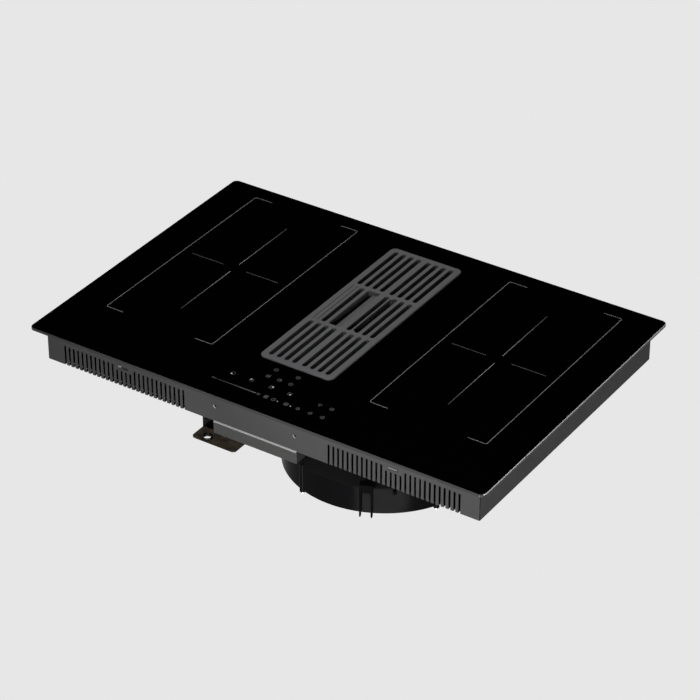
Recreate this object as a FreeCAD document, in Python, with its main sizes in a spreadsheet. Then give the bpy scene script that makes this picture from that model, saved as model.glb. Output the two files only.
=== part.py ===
"""Built-in induction hob with a downdraft extractor in its middle.

Frame: millimetres, X to the right, Y to the back, Z up. The origin is the middle of the glass
outline, in the plane of the worktop that the seal under the glass rests on.
"""
import FreeCAD, Part
import math
import os
import re
from types import SimpleNamespace

import Sketcher

Vector = FreeCAD.Vector
os.makedirs("parts", exist_ok=True)
doc = FreeCAD.newDocument("downdraft_hob")
sheet = doc.addObject("Spreadsheet::Sheet", "dims")

SIZES = {
    # Shared
    "overrun": 2,
    "zone_shift": 10.55,
    # Glass and what bonds and seals it
    "glass_width": 770,
    "glass_length": 520,
    "glass_thick": 4,
    "glass_corner": 9,
    "glass_bevel": 0.8,
    "seal_thick": 2,
    "seal_width": 8,
    "seal_inset": 4,
    "glue_thick": 1,
    "glue_width": 7,
    "glue_inset": 2,
    # Intake grille
    "grille_width": 124,
    "grille_front": 119.5,
    "grille_back": 42.5,
    "grille_height": 10,
    "grille_proud": 2,
    "grille_corner": 9.5,
    "grille_bevel": 0.8,
    "grille_gap": 0.5,
    "grille_spine": 9.6,
    "grille_slot": 7.5,
    "grille_bar": 5.8,
    "grille_crossbar": 6.5,
    "grille_end": 9.5,
    "grille_scoop": 6.5,
    "grille_thinning": 3.2,
    "grille_groove": 0.9,
    # Air well and grease filter
    "well_wall": 2,
    "well_flange": 6,
    "well_ledge": 4,
    "well_corner": 3,
    "filter_gap": 0.5,
    "filter_height": 14,
    "filter_depth": 24,
    "filter_sheet": 1.2,
    "filter_lip": 5,
    "filter_ledge": 3.5,
    "pleat_sheet": 1.4,
    # Base tray
    "tray_side": 16.6,
    "tray_end": 20,
    "tray_height": 54.3,
    "tray_sheet": 1,
    "tray_flange": 10,
    "tray_bend": 1.5,
    "vent_start": 124,
    "vent_end": 32.4,
    "vent_width": 3.2,
    "vent_top": 22,
    "vent_step": 7,
    "vent_wrap": 9,
    "lance_width": 15,
    "lance_height": 3,
    "lance_reach": 1.4,
    "lance_above": 4,
    "hole_radius": 1.7,
    "hole_x": 68,
    "hole_below": 28.5,
    "floor_vent_width": 4,
    "floor_vent_pitch": 9,
    "floor_vent_length": 62,
    # Air pan under the tray
    "pan_width": 142,
    "pan_drop": 19.5,
    "pan_sheet": 1.2,
    "pan_proud": 1.5,
    "pan_back": 6,
    "pan_flange": 9,
    "bay_margin": 24,
    # Extractor fan
    "fan_x": 114.5,
    "fan_y": -97.6,
    "fan_radius": 148.5,
    "scroll_x": 2.8,
    "scroll_y": 11.6,
    "fan_height": 42.5,
    "fan_wall": 2.5,
    "lid_gap": 11,
    "lid_thick": 2.5,
    "lid_post": 6,
    "eye_radius": 78,
    "inlet_wall": 5,
    "outlet_left": 137.5,
    "outlet_width": 220,
    "outlet_reach": 242,
    "spigot_height": 55,
    "spigot_length": 42,
    "spigot_flange": 5,
    "spigot_wall": 2,
    "lug_radius": 4.5,
    "lug_drop": 3.5,
    "screw_radius": 1.9,
    "screw_head": 3.4,
    "screw_head_height": 1.8,
    "latch_width": 19,
    "latch_height": 7,
    "latch_rise": 6,
    "latch_tongue": 7,
    "latch_thick": 4,
    "latch_leg": 2.6,
    "latch_drop": 4,
    # Impeller and its motor
    "impeller_radius": 112,
    "impeller_gap": 2.6,
    "impeller_sheet": 2,
    "blade_thick": 2.2,
    "blade_bend": 70,
    "motor_radius": 33,
    "motor_height": 20,
    "motor_airgap": 0.6,
    "rotor_wall": 3,
    "hub_wall": 2.4,
    "shaft_radius": 4,
    "shaft_play": 0.03,
    "bearing_radius": 8,
    "bearing_height": 6,
    "seat_play": 0.3,
    # Condensate cup and its hangers
    "cup_width": 77,
    "cup_length": 96,
    "cup_height": 73.2,
    "cup_wall": 2,
    "cup_gap": 11,
    "cup_front": 91,
    "cup_rim": 4,
    "cup_lip": 29.5,
    "cup_lip_corner": 6,
    "cup_hole_radius": 6.5,
    "cup_hole_inset": 23,
    "cup_hole_from_edge": 8.8,
    "cup_drop": 3.5,
    "cup_play": 0.3,
    "hanger_sheet": 1.2,
    "spout_radius": 5,
    "spout_wall": 1.2,
    "spout_reach": 24,
    # Induction coils
    "coil_overhang": 9,
    "coil_eye": 24,
    "coil_gap": 12,
    "mica_thick": 1,
    "winding_thick": 4,
    "carrier_thick": 2.5,
    "carrier_margin": 3,
    "carrier_arm": 9,
    "carrier_rim": 5,
    "ferrite_thick": 4,
    "ferrite_width": 12,
    "ferrite_inset": 12,
    "coil_plate_thick": 1.5,
    "coil_plate_gap": 4,
    "coil_plate_leg": 14,
    "sensor_radius": 7,
    # Power electronics
    "board_width": 190,
    "board_length": 155,
    "board_thick": 1.6,
    "board_lift": 6,
    "board_foot": 3,
    "board_foot_inset": 6,
    "board_front": 95,
    "heatsink_width": 110,
    "heatsink_length": 70,
    "heatsink_height": 26,
    "heatsink_base": 5,
    "heatsink_fin": 1.6,
    "heatsink_pitch": 7.2,
    "heatsink_inset": 12,
    "capacitor_radius": 9,
    "capacitor_height": 24,
    "capacitor_pitch": 26,
    "choke_radius": 16,
    "choke_height": 18,
    "blower_width": 80,
    "blower_height": 20,
    "blower_bore": 37,
    "blower_front": 14,
    "blower_strut": 4,
    "blower_plate": 2,
    "blower_post": 3,
    "blower_hub": 14,
    "blower_blade": 33,
    "blower_chord": 17,
    "blower_blade_thick": 1.2,
    "blower_play": 0.05,
    "mains_width": 110,
    "mains_length": 80,
    "mains_inset": 14,
    "terminal_width": 60,
    "terminal_length": 24,
    "terminal_height": 18,
    "gland_radius": 10,
    "gland_bore": 5.5,
    "gland_flange": 15,
    "gland_flange_thick": 4,
    "gland_reach": 8,
    "gland_above": 33,
    # Touch controls
    "panel_width": 214,
    "panel_x": 10,
    "panel_front": 1,
    "panel_back": 2,
    "panel_height": 5,
    "touch_radius": 3,
    "touch_hole": 4,
}

VENT_COUNT = 28
VENT_SHORT_COUNT = 4
GRILLE_SLOTS_PER_SIDE = 4
GRILLE_ROWS = 3
# Side, number from the spine and row of the closed slot and of the slot that the scoop takes the place of
GRILLE_CLOSED_SLOT = ("left", 3, 1)
GRILLE_SCOOP_SLOT = ("left", 0, 1)
FLOOR_VENT_COUNT = 7
FILTER_PLEATS = 30
HEATSINK_FINS = 15
CAPACITOR_COUNT = 4
BLOWER_BLADES = 7
IMPELLER_BLADES = 11
CARRIER_ARMS = 8
LUG_ANGLES = (-109.2, -27.3, 201)
LATCH_ANGLE = -67.1
POST_ANGLES = (45, 135, 225, 315)
BLADE_TILT = 35
BLADE_SWEEP = 46
SIDES = {"right": 1, "left": -1}
ROWS = {"back": 1, "front": -1}
# Touch keys as shares of the panel's half width and half length, from its middle
TOUCH_SHARES = (
    (-0.28, 0.83), (0.07, 0.83), (-0.28, 0.33), (-0.10, 0.33), (0.08, 0.33),
    (-0.71, -0.2), (-0.41, -0.2), (-0.09, -0.2), (0.20, -0.2), (0.67, -0.2), (0.86, -0.2),
    (-0.86, -0.82), (-0.65, -0.82), (-0.45, -0.82), (-0.25, -0.82),
    (-0.03, -0.82), (0.10, -0.82), (0.29, -0.82), (0.48, -0.82), (0.67, -0.82), (0.86, -0.82),
)

for row, (name, value) in enumerate(SIZES.items(), start=1):
    sheet.set(f"A{row}", name)
    sheet.set(f"B{row}", str(value))
    sheet.setAlias(f"B{row}", name)
doc.recompute()
size = SimpleNamespace(**{name: float(sheet.get(name)) for name in SIZES})

# Levels and places that several pieces share, as expressions over the sheet
TRAY_X = "(glass_width / 2 - tray_side)"
TRAY_Y = "(glass_length / 2 - tray_end)"
TRAY_FRONT = f"(-{TRAY_Y})"
GRILLE_Y = "((glass_length - grille_front - grille_back) / 2)"
SOCKET_X = "(grille_width / 2 + grille_gap)"
SOCKET_Y = f"({GRILLE_Y} + grille_gap)"
ZONE_X = f"(({SOCKET_X} + well_wall + well_flange + {TRAY_X}) / 2 + zone_shift)"
ZONE_Y = "((grille_front - grille_back) / 2)"
VENT_X = f"((vent_start + {TRAY_X} - vent_end) / 2)"
VENT_PITCH = f"(({TRAY_X} - vent_end - vent_start) / {VENT_COUNT - 1})"
COIL_R = f"(({GRILLE_Y} + coil_overhang - coil_gap / 2) / 2)"
COIL_Y = f"({COIL_R} + coil_gap / 2)"
GLASS_LOW = "seal_thick"
GLASS_TOP = "(seal_thick + glass_thick)"
TRAY_TOP = "(seal_thick - glue_thick)"
TRAY_LOW = f"({TRAY_TOP} - tray_height)"
FLOOR = f"({TRAY_LOW} + tray_sheet)"
PAN_LOW = f"({TRAY_LOW} - pan_drop)"
LID_TOP = f"({PAN_LOW} - lid_gap)"
LID_LOW = f"({LID_TOP} - lid_thick)"
RIM_LOW = f"({LID_TOP} - fan_height)"
FAN_FLOOR = f"({RIM_LOW} + fan_wall)"
GRILLE_SEAT = f"({GLASS_TOP} + grille_proud - grille_height)"
FILTER_SEAT = f"({GRILLE_SEAT} - well_wall - filter_depth - well_wall - filter_sheet)"
MICA_LOW = f"({GLASS_LOW} - mica_thick)"
WINDING_LOW = f"({MICA_LOW} - winding_thick)"
CARRIER_LOW = f"({WINDING_LOW} - carrier_thick)"
FERRITE_LOW = f"({CARRIER_LOW} - ferrite_thick)"
COIL_PLATE_LOW = f"({FERRITE_LOW} - coil_plate_thick)"
BOARD_LOW = f"({FLOOR} + board_lift)"
BOARD_TOP = f"({BOARD_LOW} + board_thick)"
WELL_X = f"({SOCKET_X} - well_ledge)"
WELL_Y = f"({SOCKET_Y} - well_ledge)"
CUP_RIGHT = "(-pan_width / 2 - cup_gap)"
CUP_LEFT = f"({CUP_RIGHT} - cup_width)"
CUP_FRONT = f"({TRAY_FRONT} + cup_front)"
CUP_TOP = f"({PAN_LOW} - cup_drop)"
CUP_LOW = f"({CUP_TOP} - cup_height)"
DRUM_X = "(fan_x + scroll_x)"
DRUM_Y = "(fan_y + scroll_y)"
SHELL_LEFT = "(fan_x - outlet_left)"
OUTLET_BACK = "(fan_y + outlet_reach)"
HUB_IN = "(motor_radius + motor_airgap + rotor_wall)"
MOTOR_TOP = f"({FAN_FLOOR} + motor_height)"
SPOUT_Y = f"({CUP_FRONT} + cup_length / 2)"
SPOUT_Z = f"({PAN_LOW} + pan_sheet + spout_radius + spout_wall)"
GLAND_X = f"(mains_inset + mains_width / 2 - {TRAY_X})"

pieces = {}


def ex(text):
    """Points each size named in an expression at its cell of the sheet."""
    return re.sub(r"[a-z_]+", lambda word: f"dims.{word[0]}" if word[0] in SIZES else word[0], text)


def bind(thing, **expressions):
    """Binds properties to expressions over the sheet."""
    for path, text in expressions.items():
        thing.setExpression(path, ex(text))


def place(thing, x, y, z):
    """Binds a piece's position."""
    for axis, text in zip("xyz", (x, y, z)):
        thing.setExpression(f"Placement.Base.{axis}", ex(text))


def span(centre, width):
    """The two ends of a width about a centre."""
    return (f"({centre}) - ({width}) / 2", f"({centre}) + ({width}) / 2")


def half(reach, centre="0"):
    """The two ends of a reach to both sides of a centre."""
    return (f"({centre}) - ({reach})", f"({centre}) + ({reach})")


def block(name, x, y, z):
    """A box between pairs of expressions along X, Y and Z."""
    box = doc.addObject("Part::Box", name)
    for length, (low, high) in zip(("Length", "Width", "Height"), (x, y, z)):
        box.setExpression(length, ex(f"({high}) - ({low})"))
    place(box, x[0], y[0], z[0])
    return box


def rod(name, radius, x, y, z):
    """An upright cylinder between two heights."""
    cylinder = doc.addObject("Part::Cylinder", name)
    bind(cylinder, Radius=radius, Height=f"({z[1]}) - ({z[0]})")
    place(cylinder, x, y, z[0])
    return cylinder


def fuse(name, *shapes):
    """One solid from several."""
    union = doc.addObject("Part::MultiFuse", name)
    union.Shapes = list(shapes)
    union.Refine = True
    return union


def cut(name, base, *tools):
    """A solid less one or more others."""
    difference = doc.addObject("Part::Cut", name)
    difference.Base = base
    difference.Tool = tools[0] if len(tools) == 1 else fuse(f"{name}_tools", *tools)
    difference.Refine = True
    return difference


def tube(name, outer, inner, x, y, z):
    """An upright pipe."""
    core = rod(f"{name}_core", inner, x, y, (f"{z[0]} - overrun", f"{z[1]} + overrun"))
    return cut(name, rod(f"{name}_outer", outer, x, y, z), core)


def frame_ring(name, x, y, width, z):
    """A flat rectangular ring: its outer half sizes and the width of its sides."""
    outer = block(f"{name}_outer", half(x), half(y), z)
    through = (f"{z[0]} - overrun", f"{z[1]} + overrun")
    inner = block(f"{name}_inner", half(f"{x} - {width}"), half(f"{y} - {width}"), through)
    return cut(name, outer, inner)


def group(name, shapes):
    """Separate solids that share one node."""
    compound = doc.addObject("Part::Compound", name)
    compound.Links = list(shapes)
    return compound


def piece(label, thing):
    """Names a finished sub-part."""
    thing.Label = label
    pieces[label] = thing
    return thing


def new_body(label):
    """A body that holds one sub-part's sketches and features."""
    return piece(label, doc.addObject("PartDesign::Body", label))


def sketch_on(body, name, role, height="0"):
    """An empty sketch on one of the body's origin planes, raised along that plane's normal."""
    sketch = body.newObject("Sketcher::SketchObject", name)
    plane = next(feature for feature in body.Origin.OriginFeatures if feature.Role == role)
    sketch.AttachmentSupport = [(plane, "")]
    sketch.MapMode = "FlatFace"
    sketch.setExpression("AttachmentOffset.Base.z", ex(height))
    return sketch


def hold(sketch, kind, geometry, point, text):
    """Holds a point of a sketch at a distance from its origin."""
    index = sketch.addConstraint(Sketcher.Constraint(kind, -1, 1, geometry, point, 1.0))
    sketch.renameConstraint(index, f"{kind}_{geometry}_{point}")
    sketch.setExpression(f"Constraints.{kind}_{geometry}_{point}", ex(text))


def add_rectangle(sketch, u, v):
    """A rectangle held at expressions along the sketch's two axes."""
    first = sketch.GeometryCount
    corners = [Vector(0, 0), Vector(1, 0), Vector(1, 1), Vector(0, 1)]
    for start, end in zip(corners, corners[1:] + corners[:1]):
        sketch.addGeometry(Part.LineSegment(start, end))
    for side in range(4):
        sketch.addConstraint(Sketcher.Constraint("Coincident", first + side, 2, first + (side + 1) % 4, 1))
        direction = "Vertical" if side % 2 else "Horizontal"
        sketch.addConstraint(Sketcher.Constraint(direction, first + side))
    for kind, ends in (("DistanceX", u), ("DistanceY", v)):
        hold(sketch, kind, first, 1, ends[0])
        hold(sketch, kind, first + 2, 1, ends[1])


def add_circle(sketch, radius, u, v):
    """A circle held at expressions."""
    circle = sketch.addGeometry(Part.Circle(Vector(0, 0), Vector(0, 0, 1), 1))
    index = sketch.addConstraint(Sketcher.Constraint("Radius", circle, 1.0))
    sketch.renameConstraint(index, f"radius_{circle}")
    sketch.setExpression(f"Constraints.radius_{circle}", ex(radius))
    hold(sketch, "DistanceX", circle, 3, u)
    hold(sketch, "DistanceY", circle, 3, v)


def extrude(body, kind, sketch, length, reverse=False):
    """A pad or a pocket of a sketch."""
    feature = body.newObject(f"PartDesign::{kind}", f"{sketch.Name}_{kind.lower()}")
    feature.Profile = sketch
    feature.Reversed = reverse
    bind(feature, Length=length)
    return feature


def slab(body, name, x, y, z, kind="Pad", corner=None):
    """A pad up, or a pocket up, of a rectangle between two heights, with its upright corners rounded."""
    sketch = sketch_on(body, name, "XY_Plane", z[0])
    add_rectangle(sketch, x, y)
    extrude(body, kind, sketch, f"({z[1]}) - ({z[0]})", reverse=kind == "Pocket")
    if corner:
        round_corners(body, sketch, corner)


def round_edges(body, name, wanted, radius):
    """Rounds the upright edges of a body whose boxes are wanted."""
    doc.recompute()
    solid = body.Tip
    tiny = size.shaft_play

    def picked(edge):
        box = edge.BoundBox
        return max(box.XLength, box.YLength) < tiny < box.ZLength and wanted(box)

    names = [f"Edge{number}" for number, edge in enumerate(solid.Shape.Edges, start=1) if picked(edge)]
    fillet = body.newObject("PartDesign::Fillet", name)
    fillet.Base = (solid, names)
    bind(fillet, Radius=radius)


def round_corners(body, sketch, radius):
    """Rounds the upright edges that stand on a sketch's corners."""
    doc.recompute()
    corners = [sketch.Placement.multVec(line.StartPoint) for line in sketch.Geometry]

    def on_corner(box):
        return any(math.hypot(box.Center.x - c.x, box.Center.y - c.y) < size.shaft_play for c in corners)

    round_edges(body, f"{sketch.Name}_corners", on_corner, radius)


def bevel_top(body, radius):
    """Bevels the outer edge of the highest face."""
    doc.recompute()
    solid = body.Tip
    top = max(solid.Shape.Faces, key=lambda face: (face.BoundBox.ZMin, face.Area))
    rim = [edge.hashCode() for edge in top.OuterWire.Edges]
    edges = enumerate(solid.Shape.Edges, start=1)
    names = [f"Edge{number}" for number, edge in edges if edge.hashCode() in rim]
    chamfer = body.newObject("PartDesign::Chamfer", f"{body.Name}_bevel")
    chamfer.Base = (solid, names)
    bind(chamfer, Size=radius)


def turned(name, shape, x, y, angle):
    """A shape made about the origin, turned about the upright axis and set at a place."""
    feature = doc.addObject("Part::Feature", name)
    feature.Shape = shape
    feature.Placement = FreeCAD.Placement(Vector(x, y, 0), FreeCAD.Rotation(Vector(0, 0, 1), angle))
    return feature


def value(text):
    """The number that an expression over the sheet comes to."""
    return float(sheet.evalExpression(text))


def make_glass():
    """The black glass, its cut-out for the grille, and the seal and glue under its rim."""
    body = new_body("glass_top")
    thickness = (GLASS_LOW, GLASS_TOP)
    outline = (half("glass_width / 2"), half("glass_length / 2"))
    slab(body, "glass_sheet", *outline, thickness, corner="glass_corner")
    socket = "grille_corner + grille_gap"
    slab(body, "glass_cutout", half(SOCKET_X), half(SOCKET_Y, ZONE_Y), thickness, "Pocket", socket)
    bevel_top(body, "glass_bevel")
    seal_x = "(glass_width / 2 - seal_inset)"
    seal_y = "(glass_length / 2 - seal_inset)"
    seal = frame_ring("glass_seal", seal_x, seal_y, "seal_width", ("0", GLASS_LOW))
    piece("glass_seal", seal)
    glue = frame_ring(
        "glass_adhesive", f"({TRAY_X} - glue_inset)", f"({TRAY_Y} - glue_inset)", "glue_width",
        (TRAY_TOP, GLASS_LOW),
    )
    piece("glass_adhesive", glue)


def make_grille():
    """The lift-off grille: rows of long slots each side of a spine, and a finger scoop in the middle row."""
    plate = doc.addObject("PartDesign::Body", "grille_body")
    top = f"({GLASS_TOP} + grille_proud)"
    slab(
        plate, "grille_plate", half("grille_width / 2"), half(GRILLE_Y, ZONE_Y), (GRILLE_SEAT, top),
        corner="grille_corner",
    )
    bevel_top(plate, "grille_bevel")
    row = f"((2 * {GRILLE_Y} - 2 * grille_end - {GRILLE_ROWS - 1} * grille_crossbar) / {GRILLE_ROWS})"
    front = f"({ZONE_Y} - {GRILLE_Y} + grille_end)"
    through = (f"{GRILLE_SEAT} - overrun", f"{top} + overrun")
    slots = []
    for side, sign in SIDES.items():
        for number in range(GRILLE_SLOTS_PER_SIDE):
            middle = f"{sign} * (grille_spine / 2 + grille_slot / 2 + {number} * (grille_slot + grille_bar))"
            for line in range(GRILLE_ROWS):
                low = f"({front} + {line} * ({row} + grille_crossbar))"
                y = (low, f"{low} + {row}")
                name = f"grille_slot_{side}_{number}_{line}"
                if (side, number, line) == GRILLE_CLOSED_SLOT:
                    slots += grooves(name, middle, y, top)
                elif (side, number, line) != GRILLE_SCOOP_SLOT:
                    slots.append(slot(name, middle, y, through))
    middle_row = (f"{front} + {row} + grille_crossbar", f"{front} + 2 * {row} + grille_crossbar")
    pitch = "(grille_slot + grille_bar)"
    second = f"(grille_spine / 2 + {pitch})"
    thin_x = (f"{second} - grille_thinning", f"{second} + grille_slot / 2")
    thin_y = (f"{middle_row[0]} + grille_slot / 2", f"{middle_row[1]} - grille_slot / 2")
    thinning = block("grille_thinning_block", thin_x, thin_y, through)
    piece("intake_grille", cut("intake_grille", plate, scoop(pitch, middle_row, top), thinning, *slots))


def scoop(pitch, y, top):
    """The finger scoop beside the spine: a hollow that falls away from the spine to the next slot."""
    lowest = f"(-grille_spine / 2 - {pitch})"
    radius = f"(({pitch} ^ 2 + grille_scoop ^ 2) / (2 * grille_scoop))"
    roller = doc.addObject("Part::Cylinder", "scoop_roller")
    bind(roller, Radius=radius, Height=f"({y[1]}) - ({y[0]})")
    roller.Placement.Rotation = FreeCAD.Rotation(Vector(1, 0, 0), -90)
    place(roller, lowest, y[0], f"{top} - grille_scoop + {radius}")
    room_x = (f"{lowest} - grille_slot / 2", "-grille_spine / 2")
    room = block("scoop_room", room_x, y, (f"{top} - grille_scoop - overrun", f"{top} + overrun"))
    hollow = doc.addObject("Part::MultiCommon", "scoop_hollow")
    hollow.Shapes = [room, roller]
    return hollow


def grooves(name, x, y, top):
    """Two shallow grooves that mark a slot which is closed."""
    z = (f"{top} - grille_groove", f"{top} + overrun")
    edges = {"left": f"{x} - grille_slot / 2", "right": f"{x} + grille_slot / 2"}
    return [block(f"{name}_groove_{edge}", span(at, "grille_groove"), y, z) for edge, at in edges.items()]


def slot(name, x, y, z):
    """A long slot of the grille, with round ends."""
    low = f"({y[0]} + grille_slot / 2)"
    high = f"({y[1]} - grille_slot / 2)"
    ends = [rod(f"{name}_{end}", "grille_slot / 2", x, at, z) for end, at in (("low", low), ("high", high))]
    return fuse(name, block(f"{name}_middle", span(x, "grille_slot"), (low, high), z), *ends)


def rounded_block(name, x, y, z, radius):
    """A box with its upright corners rounded."""
    inset_x = (f"{x[0]} + {radius}", f"{x[1]} - {radius}")
    inset_y = (f"{y[0]} + {radius}", f"{y[1]} - {radius}")
    corners = [(along, across) for along in inset_x for across in inset_y]
    posts = [rod(f"{name}_post_{number}", radius, *corner, z) for number, corner in enumerate(corners)]
    return fuse(name, block(f"{name}_long", inset_x, y, z), block(f"{name}_wide", x, inset_y, z), *posts)


def make_well():
    """The moulded well under the grille, which carries the grille and, lower down, the grease filter."""
    socket = "(grille_corner + grille_gap)"

    def stage(name, reach, low, high, radius):
        return rounded_block(
            name, half(f"{SOCKET_X} + {reach}"), half(f"{SOCKET_Y} + {reach}", ZONE_Y), (low, high), radius
        )

    rim_low = f"{GLASS_LOW} - well_wall"
    mouth_low = f"{FLOOR} - overrun"
    walls = fuse(
        "well_walls",
        stage("well_tube", "well_wall - well_ledge", FLOOR, GLASS_LOW, "(well_corner + well_wall)"),
        stage("well_socket", "well_wall", f"{GRILLE_SEAT} - well_wall", GLASS_LOW, f"({socket} + well_wall)"),
        stage("well_rim", "well_wall + well_flange", rim_low, GLASS_LOW, f"({socket} + well_flange)"),
    )
    hollows = (
        stage("well_seat", "0", GRILLE_SEAT, f"{GLASS_LOW} + overrun", socket),
        stage("well_bore", "0 - well_ledge", FILTER_SEAT, f"{GLASS_LOW} + overrun", "well_corner"),
        stage("well_mouth", "0 - well_ledge - filter_ledge", mouth_low, FILTER_SEAT, "well_corner"),
    )
    piece("air_well", cut("air_well", walls, *hollows))


def make_filter():
    """The grease filter: a folded steel frame round a pad of expanded metal."""
    x = f"({WELL_X} - filter_gap)"
    y = f"({WELL_Y} - filter_gap)"
    z = (FILTER_SEAT, f"{FILTER_SEAT} + filter_height")
    body = new_body("filter_frame")
    slab(body, "filter_box", half(x), half(y, ZONE_Y), z, corner="well_corner")
    window = (half(f"{x} - filter_lip"), half(f"{y} - filter_lip", ZONE_Y))
    slab(body, "filter_window", *window, z, "Pocket")
    inside = (half(f"{x} - filter_sheet"), half(f"{y} - filter_sheet", ZONE_Y))
    slab(body, "filter_inside", *inside, (f"{z[0]} + filter_sheet", z[1]), "Pocket")
    pad = pleated_sheet(inside, (f"{z[0]} + filter_sheet", f"{z[1]} - filter_sheet"))
    piece("filter_mesh", turned("filter_mesh", pad, 0, 0, 0))


def pleated_sheet(room, z):
    """A sheet folded to and fro along Y, as wide and as long as the room for it."""
    (left, right), (front, back) = ([value(text) for text in ends] for ends in room)
    low, high = (value(text) for text in z)
    folds = 2 * FILTER_PLEATS
    ridge = [
        Vector(left, front + (back - front) * number / folds, high if number % 2 else low + size.pleat_sheet)
        for number in range(folds + 1)
    ]
    under = [point - Vector(0, 0, size.pleat_sheet) for point in reversed(ridge)]
    return Part.Face(Part.makePolygon(ridge + under + ridge[:1])).extrude(Vector(right - left, 0, 0))


def make_tray():
    """The sheet tray: slotted front, side walls, a back panel, flanges under the glass and a welded-in floor."""
    body = doc.addObject("PartDesign::Body", "tray_folded")
    x = TRAY_X
    back = f"({TRAY_Y} - tray_sheet)"
    walls_z = (TRAY_LOW, TRAY_TOP)
    slab(body, "tray_block", half(x), (TRAY_FRONT, back), walls_z)
    round_edges(body, "tray_front_corners", lambda box: box.YMax < 0, "tray_bend")
    inside_x = half(f"{x} - tray_sheet")
    hollow_y = (f"{TRAY_FRONT} + tray_sheet", f"{back} + overrun")
    slab(body, "tray_hollow", inside_x, hollow_y, walls_z, "Pocket")
    flange_z = (f"{TRAY_TOP} - tray_sheet", TRAY_TOP)
    flange_y = f"({TRAY_FRONT} + tray_flange)"
    added = [block("flange_front", inside_x, (f"{TRAY_FRONT} + tray_sheet", flange_y), flange_z)]
    mouth = (half(f"{WELL_X} - filter_ledge"), half(f"{WELL_Y} - filter_ledge", ZONE_Y))
    floor_z = (f"{TRAY_LOW} - overrun", f"{FLOOR} + overrun")
    floor_cuts = [block("tray_mouth", *mouth, floor_z)]
    wall_cuts = []
    for side, sign in SIDES.items():
        slots = front_vents(side, f"({sign} * {VENT_X})")
        floor_cuts += slots + floor_vents(side, f"({sign} * {ZONE_X})", floor_z)
        opening, tongue = lance(side, f"({sign} * {VENT_X})")
        hole_z = f"{TRAY_TOP} - hole_below"
        hole = wall_hole(f"tray_hole_{side}", "hole_radius", f"{sign} * hole_x", hole_z, TRAY_FRONT)
        wall_cuts += slots + [opening, hole]
        flange_x = (f"{sign} * ({x} - tray_flange)", f"{sign} * ({x} - tray_sheet)")
        added += [tongue, block(f"flange_{side}", flange_x[::sign], (flange_y, back), flange_z)]
    piece("base_tray", fuse("base_tray", cut("tray_pierced", body, *wall_cuts), *added))
    back_flange_y = (f"{TRAY_Y} - tray_flange", back)
    panel = fuse(
        "back_folded", block("back_sheet", half(x), (back, TRAY_Y), walls_z),
        block("flange_back", half(f"{x} - tray_flange"), back_flange_y, flange_z),
    )
    cable_hole = wall_hole("tray_cable_hole", "gland_radius", GLAND_X, f"{FLOOR} + gland_above", back)
    piece("tray_back", cut("tray_back", panel, cable_hole))
    plate = block("tray_plate", inside_x, half(f"{TRAY_Y} - tray_sheet"), (TRAY_LOW, FLOOR))
    piece("tray_floor", cut("tray_floor", plate, *floor_cuts))


def wall_hole(name, radius, x, z, wall):
    """A round cutter along Y through the sheet that starts at a wall's front face."""
    drill = doc.addObject("Part::Cylinder", name)
    bind(drill, Radius=radius, Height="tray_sheet + 2 * overrun")
    drill.Placement.Rotation = FreeCAD.Rotation(Vector(1, 0, 0), -90)
    place(drill, x, f"{wall} - overrun", z)
    return drill


def front_vents(side, x):
    """One group of upright slots in the front wall, which run round onto the floor; some are short."""
    y = (f"{TRAY_FRONT} - overrun", f"{TRAY_FRONT} + vent_wrap")
    slots = []
    for number in range(VENT_COUNT):
        place_share = number - (VENT_COUNT - 1) / 2
        top = f"{TRAY_TOP} - vent_top" + (" - vent_step" if abs(place_share) < VENT_SHORT_COUNT / 2 else "")
        z = (f"{TRAY_LOW} - overrun", top)
        middle = f"{x} + {VENT_PITCH} * {place_share}"
        slots.append(block(f"vent_{side}_{number}", span(middle, "vent_width"), y, z))
    return slots


def lance(side, x):
    """The lanced hook above the short slots: its opening in the front wall, and its tongue."""
    low = f"({TRAY_TOP} - vent_top - vent_step + lance_above)"
    y = (f"{TRAY_FRONT} - overrun", f"{TRAY_FRONT} + tray_sheet + overrun")
    opening = block(f"lance_{side}", span(x, "lance_width"), y, (low, f"{low} + lance_height"))
    tongue_y = (f"{TRAY_FRONT} - lance_reach", f"{TRAY_FRONT} + tray_sheet")
    tongue_z = (f"{low} + lance_height - tray_sheet", f"{low} + lance_height")
    return opening, block(f"lance_tongue_{side}", span(x, "lance_width"), tongue_y, tongue_z)


def floor_vents(side, x, z):
    """The air slots in the floor under one cooling blower."""
    y = span(f"({TRAY_FRONT} + tray_sheet + blower_front + blower_width / 2)", "floor_vent_length")
    slots = []
    for number in range(FLOOR_VENT_COUNT):
        middle = f"{x} + floor_vent_pitch * {number - (FLOOR_VENT_COUNT - 1) / 2}"
        slots.append(block(f"floor_vent_{side}_{number}", span(middle, "floor_vent_width"), y, z))
    return slots


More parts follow.
